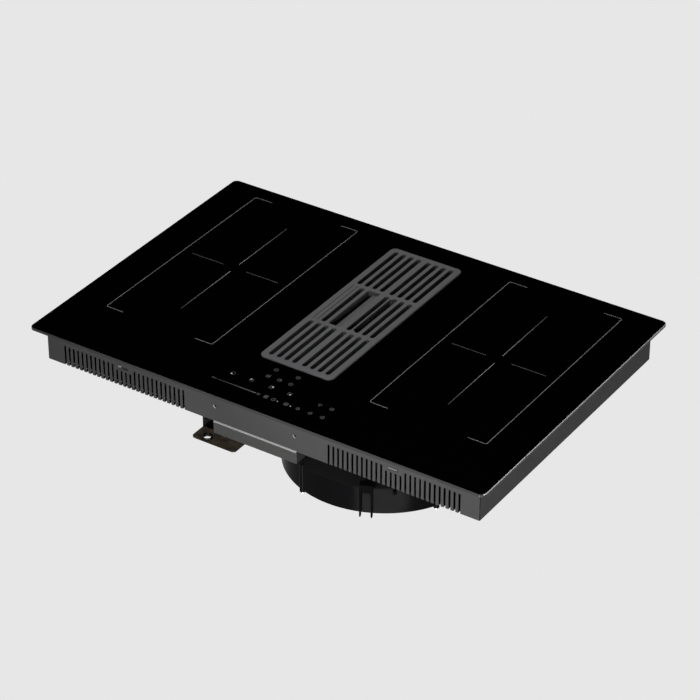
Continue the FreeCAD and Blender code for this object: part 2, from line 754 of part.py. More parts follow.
def make_pan():
    """The pan under the tray that leads air from the well to the fan's eye: folded walls and a floor plate."""
    front = f"({TRAY_FRONT} - pan_proud)"
    back = f"({ZONE_Y} + {SOCKET_Y} + pan_back)"
    bay_x = ("0", "fan_x + eye_radius + bay_margin")
    bay_y = half("eye_radius + bay_margin", "fan_y")
    z = (PAN_LOW, TRAY_LOW)
    spine = block("pan_spine", half("pan_width / 2"), (front, back), z)
    outer = fuse("pan_outer", spine, block("pan_bay", bay_x, bay_y, z))
    spine_x = half("pan_width / 2 - pan_sheet")
    spine_y = (f"{front} + pan_sheet", f"{back} - pan_sheet")
    bay_inner_x = ("0", f"{bay_x[1]} - pan_sheet")
    bay_inner_y = (f"{bay_y[0]} + pan_sheet", f"{bay_y[1]} - pan_sheet")
    through = (f"{PAN_LOW} - overrun", f"{TRAY_LOW} + overrun")
    hollows = (
        block("pan_spine_hollow", spine_x, spine_y, through),
        block("pan_bay_hollow", bay_inner_x, bay_inner_y, through),
    )
    drain = doc.addObject("Part::Cylinder", "pan_drain")
    bind(drain, Radius="spout_radius", Height="2 * overrun + pan_sheet")
    drain.Placement.Rotation = FreeCAD.Rotation(Vector(0, 1, 0), 90)
    place(drain, "-pan_width / 2 - overrun", SPOUT_Y, SPOUT_Z)
    walls = cut("pan_walls", outer, *hollows, drain)
    flange_z = (f"{TRAY_LOW} - pan_sheet", TRAY_LOW)
    right_flange = block("pan_flange_right", (bay_x[1], f"{bay_x[1]} + pan_flange"), bay_y, flange_z)
    back_flange = block("pan_flange_back", half("pan_width / 2"), (back, f"{back} + pan_flange"), flange_z)
    piece("air_pan", fuse("air_pan", walls, right_flange, back_flange))
    floor_z = (PAN_LOW, f"{PAN_LOW} + pan_sheet")
    plate = fuse(
        "pan_plate", block("pan_plate_spine", spine_x, spine_y, floor_z),
        block("pan_plate_bay", bay_inner_x, bay_inner_y, floor_z),
    )
    eye = rod("pan_eye", "eye_radius", "fan_x", "fan_y", (f"{PAN_LOW} - overrun", f"{floor_z[1]} + overrun"))
    piece("pan_floor", cut("pan_floor", plate, eye))


def fan_outline(name, inset, z, open_back="0"):
    """The fan housing's outline: a drum set off from the fan's axis, so that its channel widens towards the back, and
    a straight outlet that leaves it there.
    """
    drum = rod(f"{name}_drum", f"fan_radius - {inset}", DRUM_X, DRUM_Y, z)
    outlet = block(
        f"{name}_outlet", (f"{SHELL_LEFT} + {inset}", f"{SHELL_LEFT} + outlet_width - {inset}"),
        ("fan_y", f"{OUTLET_BACK} + {open_back}"), z,
    )
    return fuse(name, drum, outlet)


def around(x, y, reach, angle):
    """A point at a reach from a middle."""
    turn = math.radians(angle)
    return x + reach * math.cos(turn), y + reach * math.sin(turn)


def make_fan_housing():
    """The extractor's lower shell and its lid, the screws that tie them, and the ring up to the pan."""
    shell = cut(
        "shell_hollowed", fan_outline("shell_outer", "0", (RIM_LOW, LID_LOW)),
        fan_outline("shell_inner", "fan_wall", (FAN_FLOOR, f"{LID_LOW} + overrun"), "overrun"),
    )
    lug_low = f"({RIM_LOW} - lug_drop)"
    lugs, ears, holes, screws = [], [], [], []
    through = (f"{lug_low} - overrun", f"{LID_TOP} + overrun")
    for number, angle in enumerate(LUG_ANGLES):
        place = around(value(DRUM_X), value(DRUM_Y), size.fan_radius - size.lug_radius / 2, angle)
        x, y = (str(share) for share in place)
        lugs.append(rod(f"lug_{number}", "lug_radius", x, y, (lug_low, LID_LOW)))
        ears.append(rod(f"ear_{number}", "lug_radius", x, y, (LID_LOW, LID_TOP)))
        holes.append(rod(f"lug_hole_{number}", "screw_radius", x, y, through))
        shank = rod(f"screw_shank_{number}", "screw_radius", x, y, (lug_low, LID_TOP))
        head = rod(f"screw_head_{number}", "screw_head", x, y, (f"{lug_low} - screw_head_height", lug_low))
        screws.append(fuse(f"screw_{number}", shank, head))
    piece("fan_shell", cut("fan_shell", fuse("shell_with_lugs", shell, *lugs), *holes))
    piece("fan_screws", group("fan_screws", screws))
    blank = fuse("lid_blank", fan_outline("lid_outer", "0", (LID_LOW, LID_TOP)), *ears)
    eye_z = (f"{LID_LOW} - overrun", f"{LID_TOP} + overrun")
    lid = cut("lid_plate", blank, rod("lid_eye", "eye_radius", "fan_x", "fan_y", eye_z), *holes)
    posts = []
    for angle in POST_ANGLES:
        x, y = around(size.fan_x, size.fan_y, size.eye_radius + size.inlet_wall + 2 * size.lid_post, angle)
        posts.append(rod(f"lid_post_{angle}", "lid_post", str(x), str(y), (LID_LOW, PAN_LOW)))
    piece("fan_lid", fuse("fan_lid", lid, *posts))
    ring_z = (LID_TOP, PAN_LOW)
    ring = tube("fan_inlet_ring", "eye_radius + inlet_wall", "eye_radius", "fan_x", "fan_y", ring_z)
    piece("fan_inlet_ring", ring)


def make_latch():
    """The clip that ties the lid to the shell: a block with a tongue over the lid, and two pointed legs."""
    low = value(RIM_LOW)
    lid = value(LID_TOP)
    top = lid + size.latch_rise
    inner = size.fan_radius

    def bar(width, middle, bottom, pointed):
        left, right = middle - width / 2, middle + width / 2
        corners = [Vector(inner, left, top), Vector(inner, right, top), Vector(inner, right, bottom)]
        if pointed:
            corners.append(Vector(inner, middle, bottom - width))
        corners.append(Vector(inner, left, bottom))
        face = Part.Face(Part.makePolygon(corners + corners[:1]))
        return face.extrude(Vector(size.latch_thick, 0, 0))

    tongue_start = Vector(inner - size.latch_tongue, -size.latch_width / 2, lid)
    clip = Part.makeBox(size.latch_tongue, size.latch_width, size.latch_rise, tongue_start)
    clip = clip.fuse(bar(size.latch_width, 0, lid - size.latch_height, False))
    for side in SIDES.values():
        middle = side * (size.latch_width - size.latch_leg) / 2
        clip = clip.fuse(bar(size.latch_leg, middle, low - size.latch_drop, True))
    piece("fan_latch", turned("fan_latch", clip.removeSplitter(), value(DRUM_X), value(DRUM_Y), LATCH_ANGLE))


def make_spigot():
    """The outlet's flanged spigot for flat ducting."""
    middle = f"(({RIM_LOW} + {LID_TOP}) / 2)"
    x = (SHELL_LEFT, f"{SHELL_LEFT} + outlet_width")
    duct_z = span(middle, "spigot_height")
    face = f"({OUTLET_BACK} + spigot_flange)"
    end = f"({face} + spigot_length)"
    flange = block("spigot_plate", x, (OUTLET_BACK, face), duct_z)
    mouth = block(
        "spigot_mouth", (f"{x[0]} + fan_wall", f"{x[1]} - fan_wall"),
        (f"{OUTLET_BACK} - overrun", f"{face} + overrun"), (FAN_FLOOR, LID_LOW),
    )
    sleeve = block("spigot_sleeve", x, (face, end), duct_z)
    bore = block(
        "spigot_bore", (f"{x[0]} + spigot_wall", f"{x[1]} - spigot_wall"), (face, f"{end} + overrun"),
        span(middle, "spigot_height - 2 * spigot_wall"),
    )
    piece("outlet_spigot", cut("outlet_spigot", fuse("spigot_solid", flange, sleeve), mouth, bore))


def make_impeller():
    """The backward-curved impeller with its hub cup, and the motor inside the cup."""
    low = f"({FAN_FLOOR} + impeller_gap)"
    top = f"({LID_LOW} - impeller_gap)"
    hub_top = f"({MOTOR_TOP} + seat_play + rotor_wall + hub_wall)"
    back_z = (low, f"{low} + impeller_sheet")
    back = tube("impeller_back", "impeller_radius", HUB_IN, "fan_x", "fan_y", back_z)
    shroud = tube(
        "impeller_shroud", "impeller_radius", "eye_radius - impeller_gap", "fan_x", "fan_y",
        (f"{top} - impeller_sheet", top),
    )
    cup = cut(
        "impeller_cup", rod("cup_outer", f"{HUB_IN} + hub_wall", "fan_x", "fan_y", (low, hub_top)),
        rod("cup_inner", HUB_IN, "fan_x", "fan_y", (f"{low} - overrun", f"{hub_top} - hub_wall")),
        rod("cup_shaft_hole", "shaft_radius", "fan_x", "fan_y", (low, f"{hub_top} + overrun")),
    )
    bottom = value(low)
    height = value(f"{top} - {low}")
    strip = blade_solid(bottom, height)
    blades = [
        turned(f"blade_{number}", strip, size.fan_x, size.fan_y, 360 * number / IMPELLER_BLADES)
        for number in range(IMPELLER_BLADES)
    ]
    piece("impeller", fuse("impeller", back, shroud, cup, *blades))
    rotor_z = (f"{FAN_FLOOR} + impeller_gap", f"{hub_top} - hub_wall")
    rotor = cut(
        "motor_rotor", rod("rotor_outer", HUB_IN, "fan_x", "fan_y", rotor_z),
        rod("rotor_inner", "motor_radius + motor_airgap", "fan_x", "fan_y",
            (f"{rotor_z[0]} - overrun", f"{MOTOR_TOP} + seat_play")),
        rod("rotor_shaft_hole", "shaft_radius", "fan_x", "fan_y", (rotor_z[0], f"{rotor_z[1]} + overrun")),
    )
    piece("motor_rotor", rotor)
    shaft_z = (f"{FAN_FLOOR} + seat_play", hub_top)
    piece("motor_shaft", rod("motor_shaft", "shaft_radius", "fan_x", "fan_y", shaft_z))
    stator = tube("motor_stator", "motor_radius", "bearing_radius", "fan_x", "fan_y", (FAN_FLOOR, MOTOR_TOP))
    piece("motor_stator", stator)
    bearings = [
        tube(f"bearing_{end}", "bearing_radius", "shaft_radius + shaft_play", "fan_x", "fan_y", z)
        for end, z in (
            ("low", (FAN_FLOOR, f"{FAN_FLOOR} + bearing_height")),
            ("high", (f"{MOTOR_TOP} - bearing_height", MOTOR_TOP)),
        )
    ]
    piece("motor_bearings", group("motor_bearings", bearings))


def blade_solid(bottom, height):
    """One blade: a curved strip that leans back from the eye to the rim."""
    inner = size.motor_radius + size.motor_airgap + size.rotor_wall + size.hub_wall + 2 * size.hub_wall
    outer = size.impeller_radius - size.blade_thick
    sweep = math.radians(BLADE_SWEEP)
    start = Vector(inner, 0, bottom)
    end = Vector(outer * math.cos(sweep), outer * math.sin(sweep), bottom)
    chord = end - start
    across = Vector(-chord.y, chord.x, 0).normalize()
    bow = across * (chord.Length ** 2 / (8 * size.blade_bend))
    thick = across * size.blade_thick
    middle = (start + end) / 2 - bow
    near = Part.Arc(start, middle, end).toShape()
    far = Part.Arc(end + thick, middle + thick, start + thick).toShape()
    sides = [Part.LineSegment(end, end + thick).toShape(), Part.LineSegment(start + thick, start).toShape()]
    outline = Part.Wire([near, sides[0], far, sides[1]])
    return Part.Face(outline).extrude(Vector(0, 0, height))


def make_cup():
    """The smoked condensate cup with its grip lip, the hangers it slides in and the spout above it."""
    body = new_body("condensate_cup")
    x, y = (CUP_LEFT, CUP_RIGHT), (CUP_FRONT, f"{CUP_FRONT} + cup_length")
    slab(body, "cup_lip_plate", x, (f"{CUP_FRONT} - cup_lip", CUP_FRONT), (CUP_LOW, f"{CUP_LOW} + cup_wall"))
    doc.recompute()
    front = body.Tip.Shape.BoundBox.YMin
    round_edges(body, "cup_lip_corners", lambda box: box.YMax - front < size.shaft_play, "cup_lip_corner")
    slab(body, "cup_box", x, y, (CUP_LOW, CUP_TOP))
    rim_x = (f"{x[0]} - cup_rim", f"{x[1]} + cup_rim")
    slab(body, "cup_rim_plate", rim_x, y, (f"{CUP_TOP} - cup_wall", CUP_TOP))
    hollow = ((f"{x[0]} + cup_wall", f"{x[1]} - cup_wall"), (f"{y[0]} + cup_wall", f"{y[1]} - cup_wall"))
    slab(body, "cup_hollow", *hollow, (f"{CUP_LOW} + cup_wall", CUP_TOP), "Pocket")
    hole = sketch_on(body, "cup_finger_hole", "XY_Plane", CUP_LOW)
    hole_y = f"{CUP_FRONT} - cup_lip + cup_hole_from_edge"
    add_circle(hole, "cup_hole_radius", f"{x[0]} + cup_hole_inset", hole_y)
    extrude(body, "Pocket", hole, "cup_wall", reverse=True)
    hangers = []
    for side, sign, edge in (("right", 1, f"({x[1]} + cup_rim)"), ("left", -1, f"({x[0]} - cup_rim)")):
        web = (f"{edge} + {sign} * cup_play", f"{edge} + {sign} * (cup_play + hanger_sheet)")
        shelf = (f"{edge} - {sign} * (cup_rim - cup_play)", web[1])
        foot = (web[0], f"{edge} + {sign} * (cup_play + hanger_sheet + cup_rim)") if sign < 0 else web
        lip_top = f"({CUP_TOP} - cup_wall)"
        parts = [
            block(f"hanger_web_{side}", web[::sign], y, (f"{lip_top} - hanger_sheet", TRAY_LOW)),
            block(f"hanger_shelf_{side}", shelf[::sign], y, (f"{lip_top} - hanger_sheet", lip_top)),
            block(f"hanger_foot_{side}", foot[::sign], y, (f"{TRAY_LOW} - hanger_sheet", TRAY_LOW)),
        ]
        passage = doc.addObject("Part::Cylinder", f"hanger_passage_{side}")
        bind(passage, Radius="spout_radius + cup_play", Height="hanger_sheet + 2 * overrun")
        passage.Placement.Rotation = FreeCAD.Rotation(Vector(0, 1, 0), 90)
        place(passage, f"{web[::sign][0]} - overrun", SPOUT_Y, SPOUT_Z)
        hangers.append(cut(f"hanger_{side}", fuse(f"hanger_solid_{side}", *parts), passage))
    piece("cup_hangers", group("cup_hangers", hangers))
    make_spout()


def make_spout():
    """The drain spout: out through the pan's wall, then down over the cup."""
    start = "(-pan_width / 2 + pan_sheet)"
    reach = f"({start} - spout_reach)"
    arm = doc.addObject("Part::Cylinder", "spout_arm")
    bind(arm, Radius="spout_radius", Height="spout_reach")
    arm.Placement.Rotation = FreeCAD.Rotation(Vector(0, 1, 0), 90)
    place(arm, reach, SPOUT_Y, SPOUT_Z)
    bore = doc.addObject("Part::Cylinder", "spout_bore")
    bind(bore, Radius="spout_radius - spout_wall", Height="spout_reach + overrun")
    bore.Placement.Rotation = FreeCAD.Rotation(Vector(0, 1, 0), 90)
    place(bore, reach, SPOUT_Y, SPOUT_Z)
    drop_z = (f"{CUP_TOP} + cup_play", SPOUT_Z)
    drop = rod("spout_drop", "spout_radius", reach, SPOUT_Y, drop_z)
    ball = doc.addObject("Part::Sphere", "spout_elbow")
    bind(ball, Radius="spout_radius")
    place(ball, reach, SPOUT_Y, SPOUT_Z)
    drop_bore = rod(
        "spout_drop_bore", "spout_radius - spout_wall", reach, SPOUT_Y, (f"{drop_z[0]} - overrun", SPOUT_Z)
    )
    ball_bore = doc.addObject("Part::Sphere", "spout_elbow_bore")
    bind(ball_bore, Radius="spout_radius - spout_wall")
    place(ball_bore, reach, SPOUT_Y, SPOUT_Z)
    solid = cut("drain_spout", fuse("spout_solid", arm, ball, drop), bore, ball_bore, drop_bore)
    piece("drain_spout", solid)


def make_coils():
    """Two coils per zone on a carrier plate each side: winding, carrier, ferrites, sensor and mica."""
    sensors = []
    for side, sign in SIDES.items():
        x = f"({sign} * {ZONE_X})"
        mica = block(
            f"mica_blank_{side}", half(COIL_R, x), half(f"{COIL_Y} + {COIL_R}", ZONE_Y),
            (MICA_LOW, GLASS_LOW),
        )
        sensor_holes = []
        for row, turn in ROWS.items():
            y = f"({ZONE_Y} + {turn} * {COIL_Y})"
            name = f"{row}_{side}"
            make_coil(name, x, y)
            sensors.append(rod(f"sensor_{name}", "sensor_radius", x, y, (CARRIER_LOW, GLASS_LOW)))
            hole_z = (f"{MICA_LOW} - overrun", f"{GLASS_LOW} + overrun")
            sensor_holes.append(rod(f"mica_hole_{name}", "sensor_radius", x, y, hole_z))
        piece(f"mica_sheet_{side}", cut(f"mica_{side}", mica, *sensor_holes))
        make_coil_plate(side, sign)
    piece("coil_sensors", group("coil_sensors", sensors))


def make_coil(name, x, y):
    """One coil: a flat winding on a spoked carrier, with ferrite bars under the spokes."""
    winding = tube(f"coil_winding_{name}", COIL_R, "coil_eye", x, y, (WINDING_LOW, MICA_LOW))
    piece(f"coil_winding_{name}", winding)
    z = (CARRIER_LOW, WINDING_LOW)
    rim = f"({COIL_R} + carrier_margin)"
    outer = tube(f"carrier_rim_{name}", rim, f"{rim} - carrier_rim", x, y, z)
    hub = tube(f"carrier_hub_{name}", "coil_eye + carrier_rim", "sensor_radius", x, y, z)
    middle = Vector(size.coil_eye, -size.carrier_arm / 2, 0)
    spoke = Part.makeBox(value(COIL_R) - size.coil_eye, size.carrier_arm, size.carrier_thick, middle)
    bar_start = size.coil_eye + size.carrier_rim
    bar_length = value(COIL_R) - bar_start - size.ferrite_inset
    bar = Part.makeBox(
        bar_length, size.ferrite_width, size.ferrite_thick, Vector(bar_start, -size.ferrite_width / 2, 0)
    )
    spokes = spread(f"carrier_arm_{name}", spoke, x, y, z[0])
    piece(f"coil_carrier_{name}", fuse(f"coil_carrier_{name}", outer, hub, *spokes))
    piece(f"ferrites_{name}", group(f"ferrites_{name}", spread(f"ferrite_{name}", bar, x, y, FERRITE_LOW)))


def spread(name, shape, x, y, z):
    """Copies of a shape round an upright axis."""
    copies = []
    for number in range(CARRIER_ARMS):
        copy = doc.addObject("Part::Feature", f"{name}_{number}")
        copy.Shape = shape
        copy.Placement.Rotation = FreeCAD.Rotation(Vector(0, 0, 1), 360 * number / CARRIER_ARMS)
        place(copy, x, y, z)
        copies.append(copy)
    return copies


def make_coil_plate(side, sign):
    """The aluminium plate that carries one zone's coils, on folded legs that stand on the tray floor."""
    inner = f"({SOCKET_X} + well_wall + coil_plate_gap)"
    outer = f"({TRAY_X} - tray_sheet - coil_plate_gap)"
    x = (inner, outer) if sign > 0 else (f"-{outer}", f"-{inner}")
    reach = f"({COIL_Y} + {COIL_R} + carrier_margin)"
    y = half(reach, ZONE_Y)
    plate = block(f"plate_sheet_{side}", x, y, (COIL_PLATE_LOW, FERRITE_LOW))
    legs = []
    for end, low in (("front", y[0]), ("back", f"{y[1]} - coil_plate_leg")):
        leg_y = (low, f"{low} + coil_plate_leg")
        for edge, start in (("low", x[0]), ("high", f"{x[1]} - coil_plate_thick")):
            leg_x = (start, f"{start} + coil_plate_thick")
            legs.append(block(f"plate_leg_{side}_{end}_{edge}", leg_x, leg_y, (FLOOR, COIL_PLATE_LOW)))
    piece(f"coil_plate_{side}", fuse(f"coil_plate_{side}", plate, *legs))


def make_electronics():
    """Inverter boards with heat sinks and blowers each side, and the mains board with its terminal block."""
    for side, sign in SIDES.items():
        x = f"({sign} * {ZONE_X})"
        front = f"({TRAY_FRONT} + blower_front + board_front)"
        make_board(f"inverter_board_{side}", span(x, "board_width"), (front, f"{front} + board_length"))
        make_heatsink(side, x, f"({front} + heatsink_inset)")
        make_power_parts(side, x, f"({front} + 2 * heatsink_inset + heatsink_length + choke_radius)")
        make_blower(side, x)
    left = f"(mains_inset - {TRAY_X})"
    back = f"({TRAY_Y} - mains_inset)"
    make_board("mains_board", (left, f"{left} + mains_width"), (f"{back} - mains_length", back))
    terminal_y = (f"{back} - board_foot_inset - terminal_length", f"{back} - board_foot_inset")
    terminal_z = (BOARD_TOP, f"{BOARD_TOP} + terminal_height")
    piece("terminal_block", block("terminal_block", span(GLAND_X, "terminal_width"), terminal_y, terminal_z))
    make_gland()


def make_board(label, x, y):
    """A circuit board on four press-in feet."""
    sheet_solid = block(f"{label}_sheet", x, y, (BOARD_LOW, BOARD_TOP))
    feet = []
    for end, along in (("left", f"{x[0]} + board_foot_inset"), ("right", f"{x[1]} - board_foot_inset")):
        for row, across in (("front", f"{y[0]} + board_foot_inset"), ("back", f"{y[1]} - board_foot_inset")):
            feet.append(rod(f"{label}_foot_{end}_{row}", "board_foot", along, across, (FLOOR, BOARD_LOW)))
    piece(label, fuse(label, sheet_solid, *feet))


def make_heatsink(side, x, front):
    """An extruded heat sink whose fins run front to back."""
    y = (front, f"{front} + heatsink_length")
    base_z = (BOARD_TOP, f"{BOARD_TOP} + heatsink_base")
    base = block(f"heatsink_base_{side}", span(x, "heatsink_width"), y, base_z)
    fins = []
    for number in range(HEATSINK_FINS):
        middle = f"{x} + heatsink_pitch * {number - (HEATSINK_FINS - 1) / 2}"
        fin_z = (f"{BOARD_TOP} + heatsink_base", f"{BOARD_TOP} + heatsink_height")
        fins.append(block(f"fin_{side}_{number}", span(middle, "heatsink_fin"), y, fin_z))
    piece(f"heatsink_{side}", fuse(f"heatsink_{side}", base, *fins))


def make_power_parts(side, x, y):
    """Capacitors and a choke on the inverter board."""
    choke_z = (BOARD_TOP, f"{BOARD_TOP} + choke_height")
    solids = [tube(f"choke_{side}", "choke_radius", "choke_radius / 2", x, y, choke_z)]
    row = f"({y} + choke_radius + capacitor_pitch / 2)"
    can_z = (BOARD_TOP, f"{BOARD_TOP} + capacitor_height")
    for number in range(CAPACITOR_COUNT):
        middle = f"{x} + capacitor_pitch * {number - (CAPACITOR_COUNT - 1) / 2}"
        solids.append(rod(f"capacitor_{side}_{number}", "capacitor_radius", middle, row, can_z))
    piece(f"power_parts_{side}", group(f"power_parts_{side}", solids))


def make_blower(side, x):
    """An axial blower that lies on the floor slots: a square frame with struts and a post, and its rotor."""
    y = f"({TRAY_FRONT} + tray_sheet + blower_front + blower_width / 2)"
    top = f"({FLOOR} + blower_height)"
    blank = block(f"blower_block_{side}", span(x, "blower_width"), span(y, "blower_width"), (FLOOR, top))
    hole = rod(f"blower_hole_{side}", "blower_bore", x, y, (f"{FLOOR} - overrun", f"{top} + overrun"))
    shell = cut(f"blower_shell_{side}", blank, hole)
    plate_z = (FLOOR, f"{FLOOR} + blower_plate")
    struts = [
        block(f"blower_strut_x_{side}", half("blower_bore + overrun", x), span(y, "blower_strut"), plate_z),
        block(f"blower_strut_y_{side}", span(x, "blower_strut"), half("blower_bore + overrun", y), plate_z),
        rod(f"blower_hub_plate_{side}", "blower_hub", x, y, plate_z),
        rod(f"blower_post_{side}", "blower_post", x, y, (FLOOR, f"{top} - 2 * blower_plate")),
    ]
    piece(f"blower_frame_{side}", fuse(f"blower_frame_{side}", shell, *struts))
    rotor_z = (f"{FLOOR} + blower_plate + seat_play", f"{top} - blower_plate")
    hub = tube(f"rotor_hub_{side}", "blower_hub", "blower_post + blower_play", x, y, rotor_z)
    hub_depth = size.blower_height - 2 * size.blower_plate - size.seat_play
    strip = Part.makeBox(
        size.blower_blade - size.blower_post - size.blower_plate, size.blower_chord, size.blower_blade_thick,
        Vector(size.blower_post + size.blower_plate, -size.blower_chord / 2, -size.blower_blade_thick / 2),
    )
    strip.rotate(Vector(), Vector(1, 0, 0), BLADE_TILT)
    blades = []
    for number in range(BLOWER_BLADES):
        blade = doc.addObject("Part::Feature", f"rotor_blade_{side}_{number}")
        blade.Shape = strip
        blade.Placement.Rotation = FreeCAD.Rotation(Vector(0, 0, 1), 360 * number / BLOWER_BLADES)
        place(blade, x, y, f"{rotor_z[0]} + {hub_depth} / 2")
        blades.append(blade)
    bore = rod(f"rotor_bore_{side}", "blower_post + blower_play", x, y, (FLOOR, top))
    solid = fuse(f"rotor_solid_{side}", hub, *blades)
    piece(f"blower_rotor_{side}", cut(f"blower_rotor_{side}", solid, bore))


def make_gland():
    """The cable gland in the back wall: a flanged bush that fills the wall's hole."""
    z = f"({FLOOR} + gland_above)"
    wall = TRAY_Y
    inside = f"({wall} - tray_sheet - gland_reach)"

    def along(name, radius, low, high):
        cylinder = doc.addObject("Part::Cylinder", name)
        bind(cylinder, Radius=radius, Height=f"({high}) - ({low})")
        cylinder.Placement.Rotation = FreeCAD.Rotation(Vector(1, 0, 0), -90)
        place(cylinder, GLAND_X, low, z)
        return cylinder

    bush = along("gland_bush", "gland_radius", inside, f"{wall} + gland_flange_thick")
    flange = along("gland_flange_disc", "gland_flange", wall, f"{wall} + gland_flange_thick")
    outside = f"{wall} + gland_flange_thick + overrun"
    bore = along("gland_bore_hole", "gland_bore", f"{inside} - overrun", outside)
    piece("cable_gland", cut("cable_gland", fuse("gland_solid", bush, flange), bore))


def make_controls():
    """The touch panel under the glass: a light-guide frame, a spring contact per key, and the board."""
    front = f"({TRAY_FRONT} + tray_flange + panel_front)"
    back = f"({ZONE_Y} - {SOCKET_Y} - well_wall - well_flange - panel_back)"
    y = (front, back)
    x = span("panel_x", "panel_width")
    low = f"({GLASS_LOW} - panel_height)"
    middle = f"(({front} + {back}) / 2)"
    keys = [
        (f"(panel_x + {u_share} * panel_width / 2)", f"({middle} + {v_share} * ({back} - {front}) / 2)")
        for u_share, v_share in TOUCH_SHARES
    ]
    holes = [
        rod(f"key_hole_{number}", "touch_hole", *key, (f"{low} - overrun", f"{GLASS_LOW} + overrun"))
        for number, key in enumerate(keys)
    ]
    piece("control_frame", cut("control_frame", block("control_frame_block", x, y, (low, GLASS_LOW)), *holes))
    springs = [
        rod(f"key_spring_{number}", "touch_radius", *key, (low, GLASS_LOW)) for number, key in enumerate(keys)
    ]
    piece("touch_springs", group("touch_springs", springs))
    piece("control_board", block("control_board", x, y, (f"{low} - board_thick", low)))


def write_pieces():
    """Checks every object of the document, then writes one file per sub-part."""
    doc.recompute()
    failed = [thing.Name for thing in doc.Objects if {"Invalid", "Error"} & set(thing.State)]
    if failed:
        raise RuntimeError(f"failed objects: {failed}")
    for label, thing in pieces.items():
        if thing.Label != label or thing.Shape.isNull() or not thing.Shape.isValid():
            raise RuntimeError(f"bad sub-part: {label}")
    for label, thing in pieces.items():
        thing.Shape.exportStep(f"parts/{label}.step")
        print(f"{label}: {len(thing.Shape.Solids)} solid(s), {thing.Shape.Volume / 1000:.1f} cm3")


make_glass()
make_grille()
make_well()
make_filter()
make_tray()
make_pan()
make_fan_housing()
make_latch()
make_spigot()
make_impeller()
make_cup()
make_coils()
make_electronics()
make_controls()
write_pieces()
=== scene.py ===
"""Looks of a built-in induction hob with a downdraft extractor: materials, signs, trim, light and camera.

Metres, X to the right, Y to the back, Z up. The origin is the middle of the glass, in the worktop's plane.
"""

import math

import bmesh
import bpy
from mathutils import Matrix, Vector


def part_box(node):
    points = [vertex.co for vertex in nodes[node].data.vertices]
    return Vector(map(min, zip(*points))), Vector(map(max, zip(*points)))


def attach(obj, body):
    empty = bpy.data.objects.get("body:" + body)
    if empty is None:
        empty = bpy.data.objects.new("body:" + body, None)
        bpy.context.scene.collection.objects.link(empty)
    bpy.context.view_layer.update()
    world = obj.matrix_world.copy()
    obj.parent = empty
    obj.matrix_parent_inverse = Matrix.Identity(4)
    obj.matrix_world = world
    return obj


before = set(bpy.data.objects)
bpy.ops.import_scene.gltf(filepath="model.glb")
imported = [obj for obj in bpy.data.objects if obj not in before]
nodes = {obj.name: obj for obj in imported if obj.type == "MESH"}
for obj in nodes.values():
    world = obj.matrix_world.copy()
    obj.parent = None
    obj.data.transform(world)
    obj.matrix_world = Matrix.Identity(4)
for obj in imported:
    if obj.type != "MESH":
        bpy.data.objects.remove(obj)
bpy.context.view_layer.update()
scene = bpy.context.scene
scene.view_settings.view_transform = "Standard"

MM = 0.001
GLASS_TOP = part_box("glass_top")[1][2]
TRAY_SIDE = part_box("base_tray")[1][0]
TRAY_FRONT = -240.0 * MM
FAN_AXIS = Vector((114.5, -97.6, 0.0)) * MM
DRUM_MIDDLE = Vector((117.3, -86.0, 0.0)) * MM
DRUM_RADIUS = 148.5 * MM
SHELL_DEPTH = 40.0 * MM
FAN_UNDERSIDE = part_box("fan_lid")[0][2] - SHELL_DEPTH
# The middle of both cooking zones, in millimetres
ZONE_Y = 38.5


# Materials

CLOUD_SCALE = 9.0
PATCH_SCALE = 35.0
FINE_GRAIN = 1500.0
GRAIN_DETAIL = 2.0
LINE_DETAIL = 4.0
GRAIN_DEPTH = 0.00003
COIL_PITCH = 3.2 * MM
NET_PITCH_X, NET_PITCH_Y = 7.0 * MM, 4.0 * MM
TRAY_GREY = (0.055, 0.055, 0.056)
# Painted shade: the near black given to the tray's inside faces, where shade falls
INNER_SHADE_BLACK = (0.002, 0.002, 0.002)
PAINT_ROUGHNESS = 0.46
PAINT_GLOSS = 0.03


